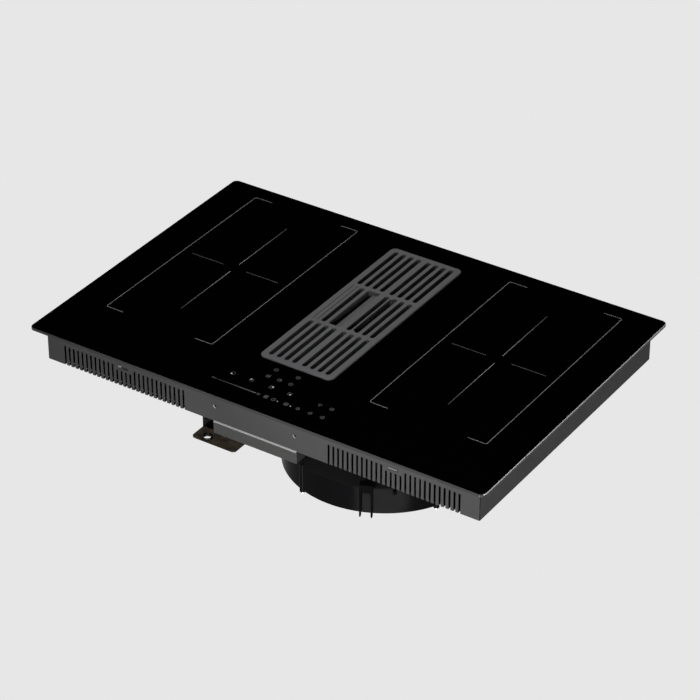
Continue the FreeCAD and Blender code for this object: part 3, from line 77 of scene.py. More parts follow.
class Surface:
    """A node material that is built up step by step."""

    def __init__(self, name, **sockets):
        self.material = bpy.data.materials.new(name)
        self.material.use_nodes = True
        self.tree = self.material.node_tree
        self.shader = self.tree.nodes["Principled BSDF"]
        for socket, value in sockets.items():
            self.set(socket, value)

    def socket(self, name):
        """A socket of the shader by its name, with _ for a space."""
        return self.shader.inputs[name.replace("_", " ")]

    def set(self, name, value):
        """Sets a constant on the shader, or links a node's output to it."""
        if isinstance(value, bpy.types.NodeSocket):
            self.tree.links.new(value, self.socket(name))
        elif isinstance(value, tuple):
            self.socket(name).default_value = (*value, 1.0)
        else:
            self.socket(name).default_value = value

    def node(self, kind, inputs=None, **settings):
        """A node with its settings and inputs."""
        made = self.tree.nodes.new(f"ShaderNode{kind}")
        for name, value in settings.items():
            setattr(made, name, value)
        for name, value in (inputs or {}).items():
            if isinstance(value, bpy.types.NodeSocket):
                self.tree.links.new(value, made.inputs[name])
            else:
                made.inputs[name].default_value = value
        return made

    def place(self, scale=(1.0, 1.0, 1.0), shift=(0.0, 0.0, 0.0)):
        """Object coordinates, moved and stretched."""
        spot = self.node("TexCoord").outputs["Object"]
        return self.node("Mapping", {"Vector": spot, "Scale": scale, "Location": shift}).outputs["Vector"]

    def noise(self, scale, detail=3.0, stretch=(1.0, 1.0, 1.0)):
        """Cloudy noise, as a number from 0 to 1."""
        inputs = {"Vector": self.place(stretch), "Scale": scale, "Detail": detail}
        return self.node("TexNoise", inputs).outputs["Fac"]

    def math(self, operation, a, b=0.0):
        """A sum on one or two numbers."""
        return self.node("Math", {0: a, 1: b}, operation=operation).outputs[0]

    def spread(self, number, low, high, start=0.3, end=0.7):
        """A number stretched from one span to another."""
        inputs = {"Value": number, "From Min": start, "From Max": end, "To Min": low, "To Max": high}
        return self.node("MapRange", inputs).outputs["Result"]

    def cloud(self):
        """Broad, slow changes over the surface, as a share."""
        return self.spread(self.noise(CLOUD_SCALE), 0.0, 1.0)

    def mix(self, share, first, second):
        """A colour between two colours."""
        made = self.node("Mix", data_type="RGBA")
        for socket, value in ((made.inputs[0], share), (made.inputs[6], first), (made.inputs[7], second)):
            if isinstance(value, bpy.types.NodeSocket):
                self.tree.links.new(value, socket)
            else:
                socket.default_value = (*value, 1.0) if isinstance(value, tuple) else value
        return made.outputs[2]

    def patchy(self, roughness, swing=0.05):
        """Roughness that wanders a little to both sides of a value."""
        patches = self.noise(PATCH_SCALE)
        self.set("Roughness", self.spread(patches, roughness - swing, roughness + swing))

    def relief(self, height, depth, soften=0.0):
        """Bumps the surface, over edges that are softened by a small radius."""
        inputs = {"Height": height, "Distance": depth, "Strength": 1.0}
        if soften:
            inputs["Normal"] = self.node("Bevel", {"Radius": soften}, samples=4).outputs["Normal"]
        self.set("Normal", self.node("Bump", inputs).outputs["Normal"])


def shade(colour, factor):
    """A colour made lighter or darker."""
    return tuple(channel * factor for channel in colour)


def coated(name, colour, roughness, grain, depth, soften=0.0, specular=0.5, metallic=0.0):
    """A painted or moulded surface: fine grain, and slow changes of tone and gloss."""
    surface = Surface(name, Metallic=metallic, Specular_IOR_Level=specular)
    surface.set("Base_Color", surface.mix(surface.cloud(), shade(colour, 0.88), shade(colour, 1.12)))
    surface.patchy(roughness)
    surface.relief(surface.noise(grain, GRAIN_DETAIL), depth, soften)
    return surface.material


def top_lit_coat(name, top, side, roughness, soften, specular):
    """A coat with painted light and shade: lighter on its flat faces, darker on its upright ones."""
    surface = Surface(name, Specular_IOR_Level=specular)
    normal = surface.node("NewGeometry").outputs["Normal"]
    upright = surface.node("SeparateXYZ", {0: normal}).outputs["Z"]
    flat = surface.spread(surface.math("ABSOLUTE", upright), 0.0, 1.0, 0.5, 0.9)
    # Painted light on the flat faces, painted shade on the upright ones
    tone = surface.mix(flat, side, top)
    lighter = surface.mix(flat, shade(side, 1.2), shade(top, 1.15))
    surface.set("Base_Color", surface.mix(surface.cloud(), tone, lighter))
    surface.patchy(roughness)
    surface.relief(surface.noise(1800.0, GRAIN_DETAIL), GRAIN_DEPTH, soften)
    return surface.material


def brushed(name, colour, roughness, direction, soften=0.0):
    """Bare metal with fine brush lines along one axis."""
    surface = Surface(name, Metallic=1.0)
    stretch = tuple(0.02 if axis == direction else 1.0 for axis in "xyz")
    lines = surface.noise(1400.0, LINE_DETAIL, stretch)
    share = surface.spread(lines, 0.0, 1.0)
    surface.set("Base_Color", surface.mix(share, shade(colour, 0.8), shade(colour, 1.1)))
    surface.set("Roughness", surface.spread(lines, roughness - 0.08, roughness + 0.08))
    surface.relief(lines, 0.00002, soften)
    return surface.material


def rolled(name, colour, roughness):
    """Dark coated sheet that still shows the lines of the rolling mill along X."""
    surface = Surface(name, Metallic=0.3, Specular_IOR_Level=0.3)
    lines = surface.noise(1100.0, LINE_DETAIL, (0.05, 1.0, 1.0))
    share = surface.spread(lines, 0.0, 1.0)
    surface.set("Base_Color", surface.mix(share, shade(colour, 0.8), shade(colour, 1.2)))
    surface.set("Roughness", surface.spread(lines, roughness - 0.06, roughness + 0.06))
    surface.relief(lines, GRAIN_DEPTH, 0.0006)
    return surface.material


def glass_material():
    """Polished black glass, faintly smudged, with greyer ground edges and a painted highlight on the bevel that faces
    right.
    """
    surface = Surface("black_glass", IOR=1.5, Specular_IOR_Level=0.1)
    normal = surface.node("SeparateXYZ", {0: surface.node("NewGeometry").outputs["Normal"]})
    edge = surface.spread(normal.outputs["Z"], 1.0, 0.0, 0.9, 0.99)
    ground = surface.mix(surface.noise(2500.0), (0.03, 0.03, 0.0305), (0.045, 0.045, 0.0455))
    # Painted highlight: the bevel that faces right and up gets a pale colour that stands in for a glint of light
    bevel_glint_faces = [surface.spread(normal.outputs[axis], 0.0, 1.0, 0.5, 0.6) for axis in "XZ"]
    ground = surface.mix(surface.math("MULTIPLY", *bevel_glint_faces), ground, (0.6, 0.6, 0.61))
    surface.set("Base_Color", surface.mix(edge, (0.0004, 0.0004, 0.00045), ground))
    smudge = surface.spread(surface.noise(14.0, 5.0), 0.02, 0.06)
    surface.set("Roughness", surface.math("ADD", smudge, surface.math("MULTIPLY", edge, 0.10)))
    return surface.material


def smoked_material():
    """Smoked brown plastic, glossy, with faint flow streaks from top to bottom."""
    surface = Surface("smoked_plastic", IOR=1.2, Transmission_Weight=1.0)
    streak = surface.noise(90.0, 3.0, (1.0, 1.0, 0.08))
    share = surface.spread(streak, 0.0, 1.0)
    surface.set("Base_Color", surface.mix(share, (0.015, 0.011, 0.0085), (0.045, 0.037, 0.027)))
    surface.set("Roughness", surface.spread(streak, 0.16, 0.3))
    surface.relief(streak, GRAIN_DEPTH, 0.0006)
    return surface.material


def paint_with_inner_shade(surface, inner_shade, soften):
    """Dark powder paint outside, and nearly black painted shade where the given share is 1."""
    outer = surface.mix(surface.cloud(), shade(TRAY_GREY, 0.92), shade(TRAY_GREY, 1.08))
    surface.set("Base_Color", surface.mix(inner_shade, outer, INNER_SHADE_BLACK))
    surface.patchy(PAINT_ROUGHNESS)
    surface.relief(surface.noise(FINE_GRAIN, GRAIN_DETAIL), GRAIN_DEPTH, soften)
    return surface.material


def tray_material():
    """The tray's walls, with painted shade: the inside faces, seen through the slots, are nearly black."""
    surface = Surface("tray_wall_paint_and_shade", Specular_IOR_Level=PAINT_GLOSS)
    spot = surface.node("SeparateXYZ", {0: surface.place()})
    near, far = 0.05 * MM, 0.25 * MM
    side = surface.math("ABSOLUTE", spot.outputs["X"])
    behind_side = surface.spread(side, 1.0, 0.0, TRAY_SIDE - far, TRAY_SIDE - near)
    behind_front = surface.spread(spot.outputs["Y"], 0.0, 1.0, TRAY_FRONT + near, TRAY_FRONT + far)
    return paint_with_inner_shade(surface, surface.math("MULTIPLY", behind_side, behind_front), 0.0010)


def floor_material():
    """The tray's floor: the paint of the walls below, and nearly black painted shade above."""
    surface = Surface("tray_floor_paint_and_shade", Specular_IOR_Level=PAINT_GLOSS)
    level = surface.node("SeparateXYZ", {0: surface.place()}).outputs["Z"]
    low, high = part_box("tray_floor")
    inset = 0.3 * MM
    return paint_with_inner_shade(surface, surface.spread(level, 0.0, 1.0, low[2] + inset, high[2] - inset), 0.0005)


def winding_material(node):
    """Varnished litz wire, wound in a flat ring round the node's middle."""
    low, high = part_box(node)
    middle = tuple(-(a + b) / 2 for a, b in zip(low, high))
    surface = Surface(f"copper_{node}", Metallic=0.85)
    spot = surface.node("SeparateXYZ", {0: surface.place(shift=middle)})
    square = [surface.math("MULTIPLY", spot.outputs[axis], spot.outputs[axis]) for axis in "XY"]
    reach = surface.math("SQRT", surface.math("ADD", *square))
    turns = surface.math("SINE", surface.math("MULTIPLY", reach, 2.0 * math.pi / COIL_PITCH))
    share = surface.spread(turns, 0.0, 1.0, -1.0, 1.0)
    surface.set("Base_Color", surface.mix(share, (0.12, 0.04, 0.015), (0.6, 0.28, 0.12)))
    surface.set("Roughness", surface.spread(surface.noise(600.0), 0.3, 0.5))
    surface.relief(turns, 0.0006)
    return surface.material


def expanded_material():
    """Expanded metal: a net of bright strands round diamond openings, whose near black is painted shade standing in for
    the holes.
    """
    surface = Surface("expanded_metal", Metallic=0.9)
    spot = surface.node("SeparateXYZ", {0: surface.place()})
    along = surface.math("MULTIPLY", spot.outputs["X"], 2.0 * math.pi / NET_PITCH_X)
    across = surface.math("MULTIPLY", spot.outputs["Y"], 2.0 * math.pi / NET_PITCH_Y)
    waves = [surface.math("SINE", surface.math(turn, along, across)) for turn in ("ADD", "SUBTRACT")]
    strand = surface.spread(surface.math("MAXIMUM", *waves), 0.0, 1.0, 0.55, 0.8)
    surface.set("Base_Color", surface.mix(strand, (0.02, 0.02, 0.021), (0.42, 0.42, 0.43)))
    surface.set("Metallic", strand)
    surface.set("Roughness", surface.spread(surface.noise(500.0), 0.28, 0.45))
    surface.relief(strand, 0.0006)
    return surface.material


def board_material():
    """Solder resist with copper tracks under it."""
    surface = Surface("circuit_board", Specular_IOR_Level=0.5)
    inputs = {"Vector": surface.place(), "Scale": 60.0, "Mortar Size": 0.04}
    tracks = surface.node("TexBrick", inputs).outputs["Fac"]
    surface.set("Base_Color", surface.mix(tracks, (0.006, 0.05, 0.02), (0.012, 0.11, 0.045)))
    surface.set("Roughness", surface.spread(surface.noise(80.0), 0.3, 0.45))
    surface.relief(tracks, 0.00008)
    return surface.material


def ink_material(name, colour):
    """Fired print on the glass, slightly uneven."""
    surface = Surface(name, Specular_IOR_Level=0.3)
    grain = surface.noise(900.0)
    surface.set("Base_Color", surface.mix(grain, shade(colour, 0.85), colour))
    surface.set("Roughness", surface.spread(grain, 0.4, 0.6))
    return surface.material


def fading_ink():
    """Print that fades away from the middle of the zones towards the front and the back."""
    surface = Surface("fading_ink", Specular_IOR_Level=0.1)
    spot = surface.place(shift=(0.0, -ZONE_Y * MM, 0.0))
    along = surface.node("SeparateXYZ", {0: spot}).outputs["Y"]
    share = surface.spread(surface.math("ABSOLUTE", along), 0.0, 1.0, 15.0 * MM, 140.0 * MM)
    surface.set("Base_Color", surface.mix(share, (0.40, 0.40, 0.41), (0.09, 0.09, 0.092)))
    surface.set("Roughness", surface.spread(surface.noise(900.0), 0.4, 0.6))
    return surface.material


PLASTIC = coated(
    "black_plastic", (0.0075, 0.0075, 0.008), roughness=0.42, grain=900.0, depth=0.00004, soften=0.0007, specular=0.3,
)
STEEL = brushed("bright_steel", (0.5, 0.5, 0.51), roughness=0.32, direction="x")
PAINT = coated(
    "tray_paint", TRAY_GREY, PAINT_ROUGHNESS, FINE_GRAIN, GRAIN_DEPTH, soften=0.0005, specular=PAINT_GLOSS,
)
PAN_STEEL = rolled("pan_steel", (0.047, 0.047, 0.046), roughness=0.42)
# Light zinc for the pan's cut front edge: cut edge and painted highlight
ZINC_GLINT = coated("zinc_edge_glint", (0.42, 0.42, 0.42), 0.4, FINE_GRAIN, GRAIN_DEPTH, specular=0.5, metallic=0.3)
# Light grey for the dimples and hook edges: painted highlight, and on the hooks also bare cut edge
EDGE_GLINT = coated("bare_edge_glint", (0.17, 0.17, 0.17), 0.4, FINE_GRAIN, GRAIN_DEPTH, specular=0.4, metallic=0.2)
DRUM = coated(
    "drum_plastic", (0.0036, 0.0036, 0.004), roughness=0.21, grain=900.0, depth=0.000008, soften=0.0003, specular=0.010,
)
MATT = coated("matt_plastic", (0.003, 0.003, 0.003), roughness=0.7, grain=900.0, depth=GRAIN_DEPTH, specular=0.01)
# Painted light and shade: the lid's top is made lighter and its rim nearly black
LID = top_lit_coat(
    "lid_plastic", top=(0.016, 0.016, 0.0165), side=(0.002, 0.002, 0.002), roughness=0.4, soften=0.0001, specular=0.02,
)
# Painted light and shade: the bar tops are lighter than their flanks
GRILLE = top_lit_coat(
    "grille_coat", top=(0.099, 0.099, 0.102), side=(0.058, 0.058, 0.0595), roughness=0.45, soften=0.0015, specular=0.2,
)
RUBBER = coated("dark_rubber", (0.014, 0.014, 0.014), roughness=0.75, grain=700.0, depth=0.00006)
ALUMINIUM = brushed("mill_aluminium", (0.6, 0.6, 0.61), roughness=0.4, direction="y")
BOARD = board_material()
SMOKED = smoked_material()
ZONE_INK = ink_material("zone_ink", (0.29, 0.29, 0.295))
AXIS_INK = fading_ink()
DIM_INK = ink_material("dim_ink", (0.12, 0.12, 0.122))
SIGN_INK = ink_material("sign_ink", (0.22, 0.22, 0.224))
FAINT_INK = ink_material("faint_ink", (0.15, 0.15, 0.153))
LAMP_INK = ink_material("lamp_ink", (0.8, 0.8, 0.8))

LOOKS = {
    "glass_top": glass_material(),
    "glass_seal": RUBBER,
    "glass_adhesive": coated("silicone", (0.05, 0.05, 0.05), roughness=0.5, grain=300.0, depth=0.0001),
    "intake_grille": GRILLE,
    "filter_frame": brushed("filter_steel", (0.42, 0.42, 0.43), roughness=0.34, direction="y", soften=0.0004),
    "filter_mesh": expanded_material(),
    "base_tray": tray_material(),
    "tray_back": PAINT,
    "tray_floor": floor_material(),
    "air_pan": PAN_STEEL,
    "pan_floor": PAN_STEEL,
    "cup_hangers": coated("hanger_paint", (0.05, 0.05, 0.051), 0.45, FINE_GRAIN, GRAIN_DEPTH, soften=0.0004),
    "fan_shell": DRUM,
    "fan_latch": MATT,
    "fan_lid": LID,
    "fan_screws": STEEL,
    "fan_inlet_ring": RUBBER,
    "motor_rotor": STEEL,
    "motor_shaft": STEEL,
    "motor_stator": brushed("stator_steel", (0.3, 0.3, 0.31), roughness=0.4, direction="z"),
    "motor_bearings": brushed("bearing_brass", (0.6, 0.42, 0.18), roughness=0.35, direction="z"),
    "condensate_cup": SMOKED,
    "coil_sensors": coated("sensor_pad", (0.3, 0.3, 0.3), roughness=0.6, grain=400.0, depth=0.0001),
    "cable_gland": RUBBER,
    "control_frame": coated("light_guide", (0.5, 0.5, 0.49), roughness=0.35, grain=400.0, depth=GRAIN_DEPTH),
    "control_board": BOARD,
    "mains_board": BOARD,
    "touch_springs": STEEL,
}
BY_PREFIX = {
    "blower_frame": MATT,
    "coil_carrier": coated(
        "carrier_plastic", (0.06, 0.055, 0.05), roughness=0.6, grain=500.0, depth=0.00006, soften=0.0004,
    ),
    "ferrites": coated("ferrite", (0.035, 0.035, 0.038), roughness=0.7, grain=900.0, depth=0.0001),
    "mica": coated("mica", (0.42, 0.37, 0.28), roughness=0.5, grain=250.0, depth=0.0001),
    "coil_plate": ALUMINIUM,
    "heatsink": ALUMINIUM,
    "inverter_board": BOARD,
    "power_parts": coated(
        "component_sleeve", (0.03, 0.03, 0.045), roughness=0.4, grain=300.0, depth=0.00004, soften=0.0004,
    ),
}


def look_of(node):
    """The material of a CAD node; what isn't named is black plastic."""
    if node in LOOKS:
        return LOOKS[node]
    if node.startswith("coil_winding"):
        return winding_material(node)
    found = [look for prefix, look in BY_PREFIX.items() if node.startswith(prefix)]
    return found[0] if found else PLASTIC


for name, part in nodes.items():
    part.data.materials.clear()
    part.data.materials.append(look_of(name))


# Meshes

MERGE_DISTANCE = 1e-7
NEARLY_ZERO = 1e-6
SCREW_RADIUS = 2.6 * MM
SCREW_HEIGHT = 0.62 * SCREW_RADIUS
RECESS_LONG, RECESS_SHORT = 1.3 * MM, 0.42 * MM
FACING_DOWN = Vector((0, 0, 1)).rotation_difference(Vector((0, 0, -1))).to_matrix().to_4x4()
# A radius of None stands for the outline of the cross recess
SCREW_PROFILE = [
    (SCREW_RADIUS, 0.0),
    (SCREW_RADIUS, SCREW_HEIGHT * 0.35),
    (SCREW_RADIUS * 0.93, SCREW_HEIGHT * 0.68),
    (SCREW_RADIUS * 0.75, SCREW_HEIGHT * 0.92),
    (SCREW_RADIUS * 0.6, SCREW_HEIGHT),
    (None, SCREW_HEIGHT),
    (None, SCREW_HEIGHT * 0.35),
]


def finish_piece(name, bm, material, body, smooth=None):
    """Turns a mesh into a piece that rides on a body; smooth is the angle over which an edge stays sharp."""
    bmesh.ops.remove_doubles(bm, verts=bm.verts, dist=MERGE_DISTANCE)
    bmesh.ops.recalc_face_normals(bm, faces=bm.faces)
    mesh = bpy.data.meshes.new(name)
    bm.to_mesh(mesh)
    bm.free()
    mesh.materials.append(material)
    piece = bpy.data.objects.new(name, mesh)
    scene.collection.objects.link(piece)
    if smooth is not None:
        mesh.shade_smooth()
        mesh.set_sharp_from_angle(angle=math.radians(smooth))
    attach(piece, body)


def scaled(points, x=0.0, y=0.0):
    """Points in millimetres, moved and turned into metres."""
    return [((px + x) * MM, (py + y) * MM) for px, py in points]


def arc(x, y, radius, start, end, steps):
    """Points along an arc, in degrees."""
    turns = [math.radians(start + (end - start) * i / steps) for i in range(steps + 1)]
    return [(x + radius * math.cos(turn), y + radius * math.sin(turn)) for turn in turns]


def bridge(bm, first, second):
    """Faces between two rings of corners."""
    for i in range(len(first)):
        j = (i + 1) % len(first)
        bm.faces.new((first[i], first[j], second[j], second[i]))


def loft(bm, rings):
    """A solid through rings of corners, closed by a face at each end."""
    for first, second in zip(rings, rings[1:]):
        bridge(bm, first, second)
    bm.faces.new(rings[0][::-1])
    bm.faces.new(rings[-1])


def hoop(bm, rings):
    """A solid through rings of corners, the last of which joins the first."""
    for first, second in zip(rings, rings[1:] + rings[:1]):
        bridge(bm, first, second)


def prism(bm, outline, z):
    """A closed upright prism over a flat outline."""
    loft(bm, [[bm.verts.new((x, y, height)) for x, y in outline] for height in z])


def band_sides(points, width):
    """The two edges of a flat band of even width along a line of points."""
    points = [Vector(point) for point in points]
    left, right = [], []
    for i, point in enumerate(points):
        before = (point - points[i - 1]).normalized() if i else None
        after = (points[i + 1] - point).normalized() if i + 1 < len(points) else None
        heading = ((before or after) + (after or before)).normalized()
        normal = Vector((-heading.y, heading.x))
        reach = width / 2 / max(0.5, heading.dot(after or before))
        left.append(point + normal * reach)
        right.append(point - normal * reach)
    return left, right


def band(bm, points, width, z, place=Matrix()):
    """A thin closed band along a line of points, put in place by a matrix."""
    left, right = band_sides(points, width)
    low, high = z
    corners = ((left, low), (right, low), (right, high), (left, high))
    loft(bm, [
        [bm.verts.new(place @ Vector((*side[i], height))) for side, height in corners]
        for i in range(len(points))
    ])


def lathe(bm, profile, place, steps, inner=None):
    """A solid of revolution about Z from (radius, height) pairs, put in place by a matrix."""
    rings = []
    for radius, height in profile:
        ring_corners = []
        for i in range(steps):
            turn = 2 * math.pi * i / steps
            reach = inner(turn) if radius is None else radius
            corner = Vector((reach * math.cos(turn), reach * math.sin(turn), height))
            ring_corners.append(bm.verts.new(place @ corner))
        rings.append(ring_corners)
    loft(bm, rings)


def ring(bm, profile, place, steps=96):
    """A closed ring of revolution from the corners of its section."""
    hoop(bm, [
        [bm.verts.new(place @ Vector((r * math.cos(t), r * math.sin(t), h))) for r, h in profile]
        for t in (2 * math.pi * i / steps for i in range(steps))
    ])


def cross_recess(turn):
    """The outline of a cross recess: how far it reaches at a turn."""
    turn = (turn + math.pi / 4) % (math.pi / 2) - math.pi / 4
    along = RECESS_LONG / max(math.cos(turn), NEARLY_ZERO)
    across = RECESS_SHORT / max(abs(math.sin(turn)), NEARLY_ZERO)
    return min(along, across)


def screw_heads(name, seats):
    """Pan-head screws with a cross recess, which face down from their seats."""
    bm = bmesh.new()
    for seat in seats:
        lathe(bm, SCREW_PROFILE, Matrix.Translation(seat) @ FACING_DOWN, steps=48, inner=cross_recess)
    finish_piece(name, bm, STEEL, "hob", smooth=40)


# Printed signs on the glass: lengths without MM are millimetres

PRINT = (GLASS_TOP - 0.03 * MM, GLASS_TOP + 0.04 * MM)
LINE = 0.7 * MM
STROKE = 0.42 * MM
ZONE_X = 230.0
ZONE_HALF_WIDTH = 95.0
ZONE_FRONT, ZONE_BACK = -153.0, 230.5
ZONE_CORNER, ZONE_RETURN = 3.0, 30.0
AXIS_RUNS = ((50.0, 177.0), (-99.0, 27.0))
CROSS_INNER, CROSS_OUTER = 21.0, 78.0
KEY_RADIUS = 3.1
PETAL_RADIUS = 1.4


def bracket(x, inward):
    """The long side of a zone with its two short returns, which point inward."""
    points = [(ZONE_RETURN, ZONE_BACK)]
    points += arc(ZONE_CORNER, ZONE_BACK - ZONE_CORNER, ZONE_CORNER, 90, 180, 5)
    points += arc(ZONE_CORNER, ZONE_FRONT + ZONE_CORNER, ZONE_CORNER, 180, 270, 5)
    points += [(ZONE_RETURN, ZONE_FRONT)]
    return [(x + inward * px, py) for px, py in points]


def print_zone(side, middle):
    """The lines of one flexible cooking zone."""
    bm = bmesh.new()
    for sign in (-1, 1):
        band(bm, scaled(bracket(middle + sign * ZONE_HALF_WIDTH, -sign)), LINE, PRINT)
    finish_piece(f"zone_lines_{side}", bm, ZONE_INK, "hob")
    bm = bmesh.new()
    for low, high in AXIS_RUNS:
        band(bm, scaled([(middle, low), (middle, high)]), LINE, PRINT)
    finish_piece(f"zone_axis_{side}", bm, AXIS_INK, "hob")
    bm = bmesh.new()
    for sign in (-1, 1):
        ends = [(middle + sign * reach, ZONE_Y) for reach in (CROSS_INNER, CROSS_OUTER)]
        band(bm, scaled(ends), LINE, PRINT)
    finish_piece(f"zone_cross_{side}", bm, DIM_INK, "hob")


def box_line(left, low, right, high):
    """The outline of a rectangle, closed."""
    return [(left, low), (right, low), (right, high), (left, high), (left, low)]


def key_ring(*marks):
    """A touch key: a small ring with a mark in it."""
    return [arc(0.0, 0.0, KEY_RADIUS, 0, 360, 20), *marks]


def petal(turn):
    """A blade of the fan sign: an arc that starts and ends near the middle."""
    angle = math.degrees(turn)
    middle = (PETAL_RADIUS * math.cos(turn), PETAL_RADIUS * math.sin(turn))
    return arc(*middle, PETAL_RADIUS, angle - 100, angle + 100, 10)


PLUS = [[(-1.5, 0), (1.5, 0)], [(0, -1.5), (0, 1.5)]]
MINUS = [[(-1.5, 0), (1.5, 0)]]
CHEVRON = [[(-1.5, -0.8), (0, 0.7), (1.5, -0.8)]]
PAUSE = [[(-0.8, -1.4), (-0.8, 1.4)], [(0.8, -1.4), (0.8, 1.4)]]
CLOCK = [[(0, 1.7), (0, 0), (1.3, 0)]]
POWER = [arc(0, -0.3, 2.6, 125, 415, 16), [(0, 0.6), (0, 3.2)]]
LOCK = [box_line(-2.2, -2.4, 2.2, 0.8), arc(0, 0.8, 1.5, 0, 180, 10)]
FAN = [petal(turn) for turn in (0.5, 2.6, 4.7)]
BRIDGE = [box_line(-2.6, 0.3, 2.6, 3.0), box_line(-2.6, -3.0, 2.6, -0.3)]
HOB_SQUARE = [box_line(-2.8, -2.8, 2.8, 2.8)]
CLEAR_SIGNS = (
    (-0.5, -177.0, key_ring(*CLOCK)),
    (7.0, -222.0, BRIDGE),
    (41.0, -222.0, key_ring(*PAUSE)),
    (61.0, -222.0, LOCK),
    (82.0, -222.0, POWER),
)
FAINT_SIGNS = (
    (-19.5, -157.5, key_ring(*CHEVRON)),
    (18.0, -157.5, key_ring(*PLUS)),
    (-20.0, -177.0, BRIDGE),
    (18.5, -177.0, key_ring(*MINUS)),
    (-66.0, -198.0, HOB_SQUARE),
    (-34.0, -198.0, HOB_SQUARE),
    (0.0, -198.0, HOB_SQUARE),
    (31.0, -198.0, HOB_SQUARE),
    (82.0, -198.0, FAN),
    (101.5, -198.0, key_ring(*PLUS)),
    (-82.0, -222.0, [box_line(-3.0, -1.2, 3.0, 1.2)]),
    (20.0, -222.0, key_ring(*CLOCK)),
    (102.0, -222.0, key_ring(*MINUS)),
)
SLIDER = [(-77.0, -222.15), (-10.0, -222.6), (-10.0, -221.4), (-77.0, -221.85)]
SLIDER_TICKS = [[(x, -224.0), (x, -220.0)] for x in (-7.4, -5.8, -4.2)]
# The lit corner of each zone key, and the small lamps by two other keys: place and radius
LAMPS = (
    (-67.6, -199.6, 1.2), (-35.6, -196.4, 1.2), (1.6, -196.4, 1.2), (32.6, -199.6, 1.2),
    (27.0, -223.0, 0.8), (49.0, -223.0, 0.8),
)


def print_signs():
    """The touch keys, the slider and the small lamps."""
    for name, signs, ink in (("touch_signs", CLEAR_SIGNS, SIGN_INK), ("faint_signs", FAINT_SIGNS, FAINT_INK)):
        bm = bmesh.new()
        for x, y, strokes in signs:
            for stroke in strokes:
                band(bm, scaled(stroke, x, y), STROKE, PRINT)
        finish_piece(name, bm, ink, "hob")
    bm = bmesh.new()
    prism(bm, scaled(SLIDER), PRINT)
    for tick in SLIDER_TICKS:
        band(bm, scaled(tick), STROKE, PRINT)
    finish_piece("power_slider", bm, FAINT_INK, "hob")
    bm = bmesh.new()
    for x, y, radius in LAMPS:
        prism(bm, scaled(arc(x, y, radius, 0, 337.5, 15)), PRINT)
    finish_piece("key_lamps", bm, LAMP_INK, "hob")


print_zone("right", ZONE_X)
print_zone("left", -ZONE_X)
print_signs()


# Small trim: lengths without MM are millimetres, and profiles are (radius, height) pairs

FRONT_FACING = Matrix.Rotation(math.pi / 2, 4, "X")
DIMPLE_X, DIMPLE_Z = 298.0, -13.5
DIMPLE_STRETCH = Matrix.Diagonal((2.2, 1.0, 1.0, 1.0))
DIMPLE_PROFILE = [(1.3, -0.3), (1.3, 0.15), (1.0, 0.55), (0.5, 0.75)]
# The left end, right end and top of each hook's cut edge
HOOK_EDGES = ((-238.0, -232.8, -17.8), (223.0, 237.0, -19.2))
HOOK_FRONT, HOOK_BACK, HOOK_BOTTOM = -241.9, -239.8, -21.1
SCREW_HOLE_X, SCREW_HOLE_Z = 68.0, -27.5
# A crescent of bright steel beside each screw hole: a painted highlight
GLINT_RADIUS, GLINT_WIDTH = 2.7, 1.9 * MM
GLINT_LAYER = (-0.1 * MM, 0.12 * MM)
# The pan's edge strip: bare cut edge and painted highlight
PAN_EDGE_REACH = 70.6
PAN_EDGE_SECTION = [(0.1, -1.0), (-0.5, -0.8), (-0.6, -0.3), (-0.3, 0.2), (1.5, 1.0), (1.5, -1.0)]
LIP_SHEET = 2.0 * MM
LIP_HOLE = Vector((-136.0, -169.7, 0.0)) * MM
COLLAR_PROFILE = [(6.5, -0.4), (6.5, 3.4), (6.9, 3.8), (7.5, 3.8), (7.9, 3.4), (8.2, -0.4)]
RIB_COUNT = 16
RIB_THICK = 2 * MM
RIB_INNER, RIB_OUTER = 46 * MM, 124 * MM
RIB_LAYER = (FAN_UNDERSIDE - 2.2 * MM, FAN_UNDERSIDE + 0.4 * MM)
RIB_RINGS = (85.0, 124.0)
RIB_RING_SECTION = [(-1.2, 0.4), (-1.2, -2.4), (1.2, -2.4), (1.2, 0.4)]
BOSS_PROFILE = [(46.0, 0.4), (46.0, -2.0), (44.5, -3.2), (18.0, -3.2), (16.5, -2.2), (16.5, -1.0)]
BOSS_HEIGHT = 3.2 * MM
MOTOR_SCREW_REACH = 31 * MM
MOTOR_SCREW_ANGLES = (30, 150, 270)
CATCH_ANGLE = -51.6
CATCH_HALF_WIDTH = 2.6 * MM
CATCH_SUNK, CATCH_REACH = 0.6 * MM, 4.5 * MM
CATCH_NOSE, CATCH_HEIGHT = 2.5 * MM, 9 * MM
BEADS_FROM_END = (10 * MM, 22 * MM)
# How far each line of a bead stands out of the spigot, and where it lies along it
BEAD_SECTION = ((-0.4, -1.6), (0.7, -0.6), (0.7, 0.6), (-0.4, 1.6))
HANDLE_FROM_MIDDLE = 110 * MM
HANDLE_WIRE = 1.3 * MM
# Across the filter, and up from the top of its frame
HANDLE_POINTS = [(-26, -3), (-26, 3), (-25, 9), (-16, 9), (16, 9), (25, 9), (26, 3), (26, -3)]
PAN_SCREWS = (
    (221, -160, -54.5), (221, -97.6, -54.5), (221, -35, -54.5), (-48, 228.5, -54.5), (48, 228.5, -54.5),
)


def make_dimples():
    """Two pressed dimples high in the tray's front wall, outside the lanced hooks; their light grey is a painted
    highlight.
    """
    bm = bmesh.new()
    for x in (-DIMPLE_X, DIMPLE_X):
        at = Matrix.Translation((x * MM, TRAY_FRONT, DIMPLE_Z * MM))
        lathe(bm, scaled(DIMPLE_PROFILE), at @ FRONT_FACING @ DIMPLE_STRETCH, steps=24)
    finish_piece("tray_dimples", bm, EDGE_GLINT, "hob", smooth=50)


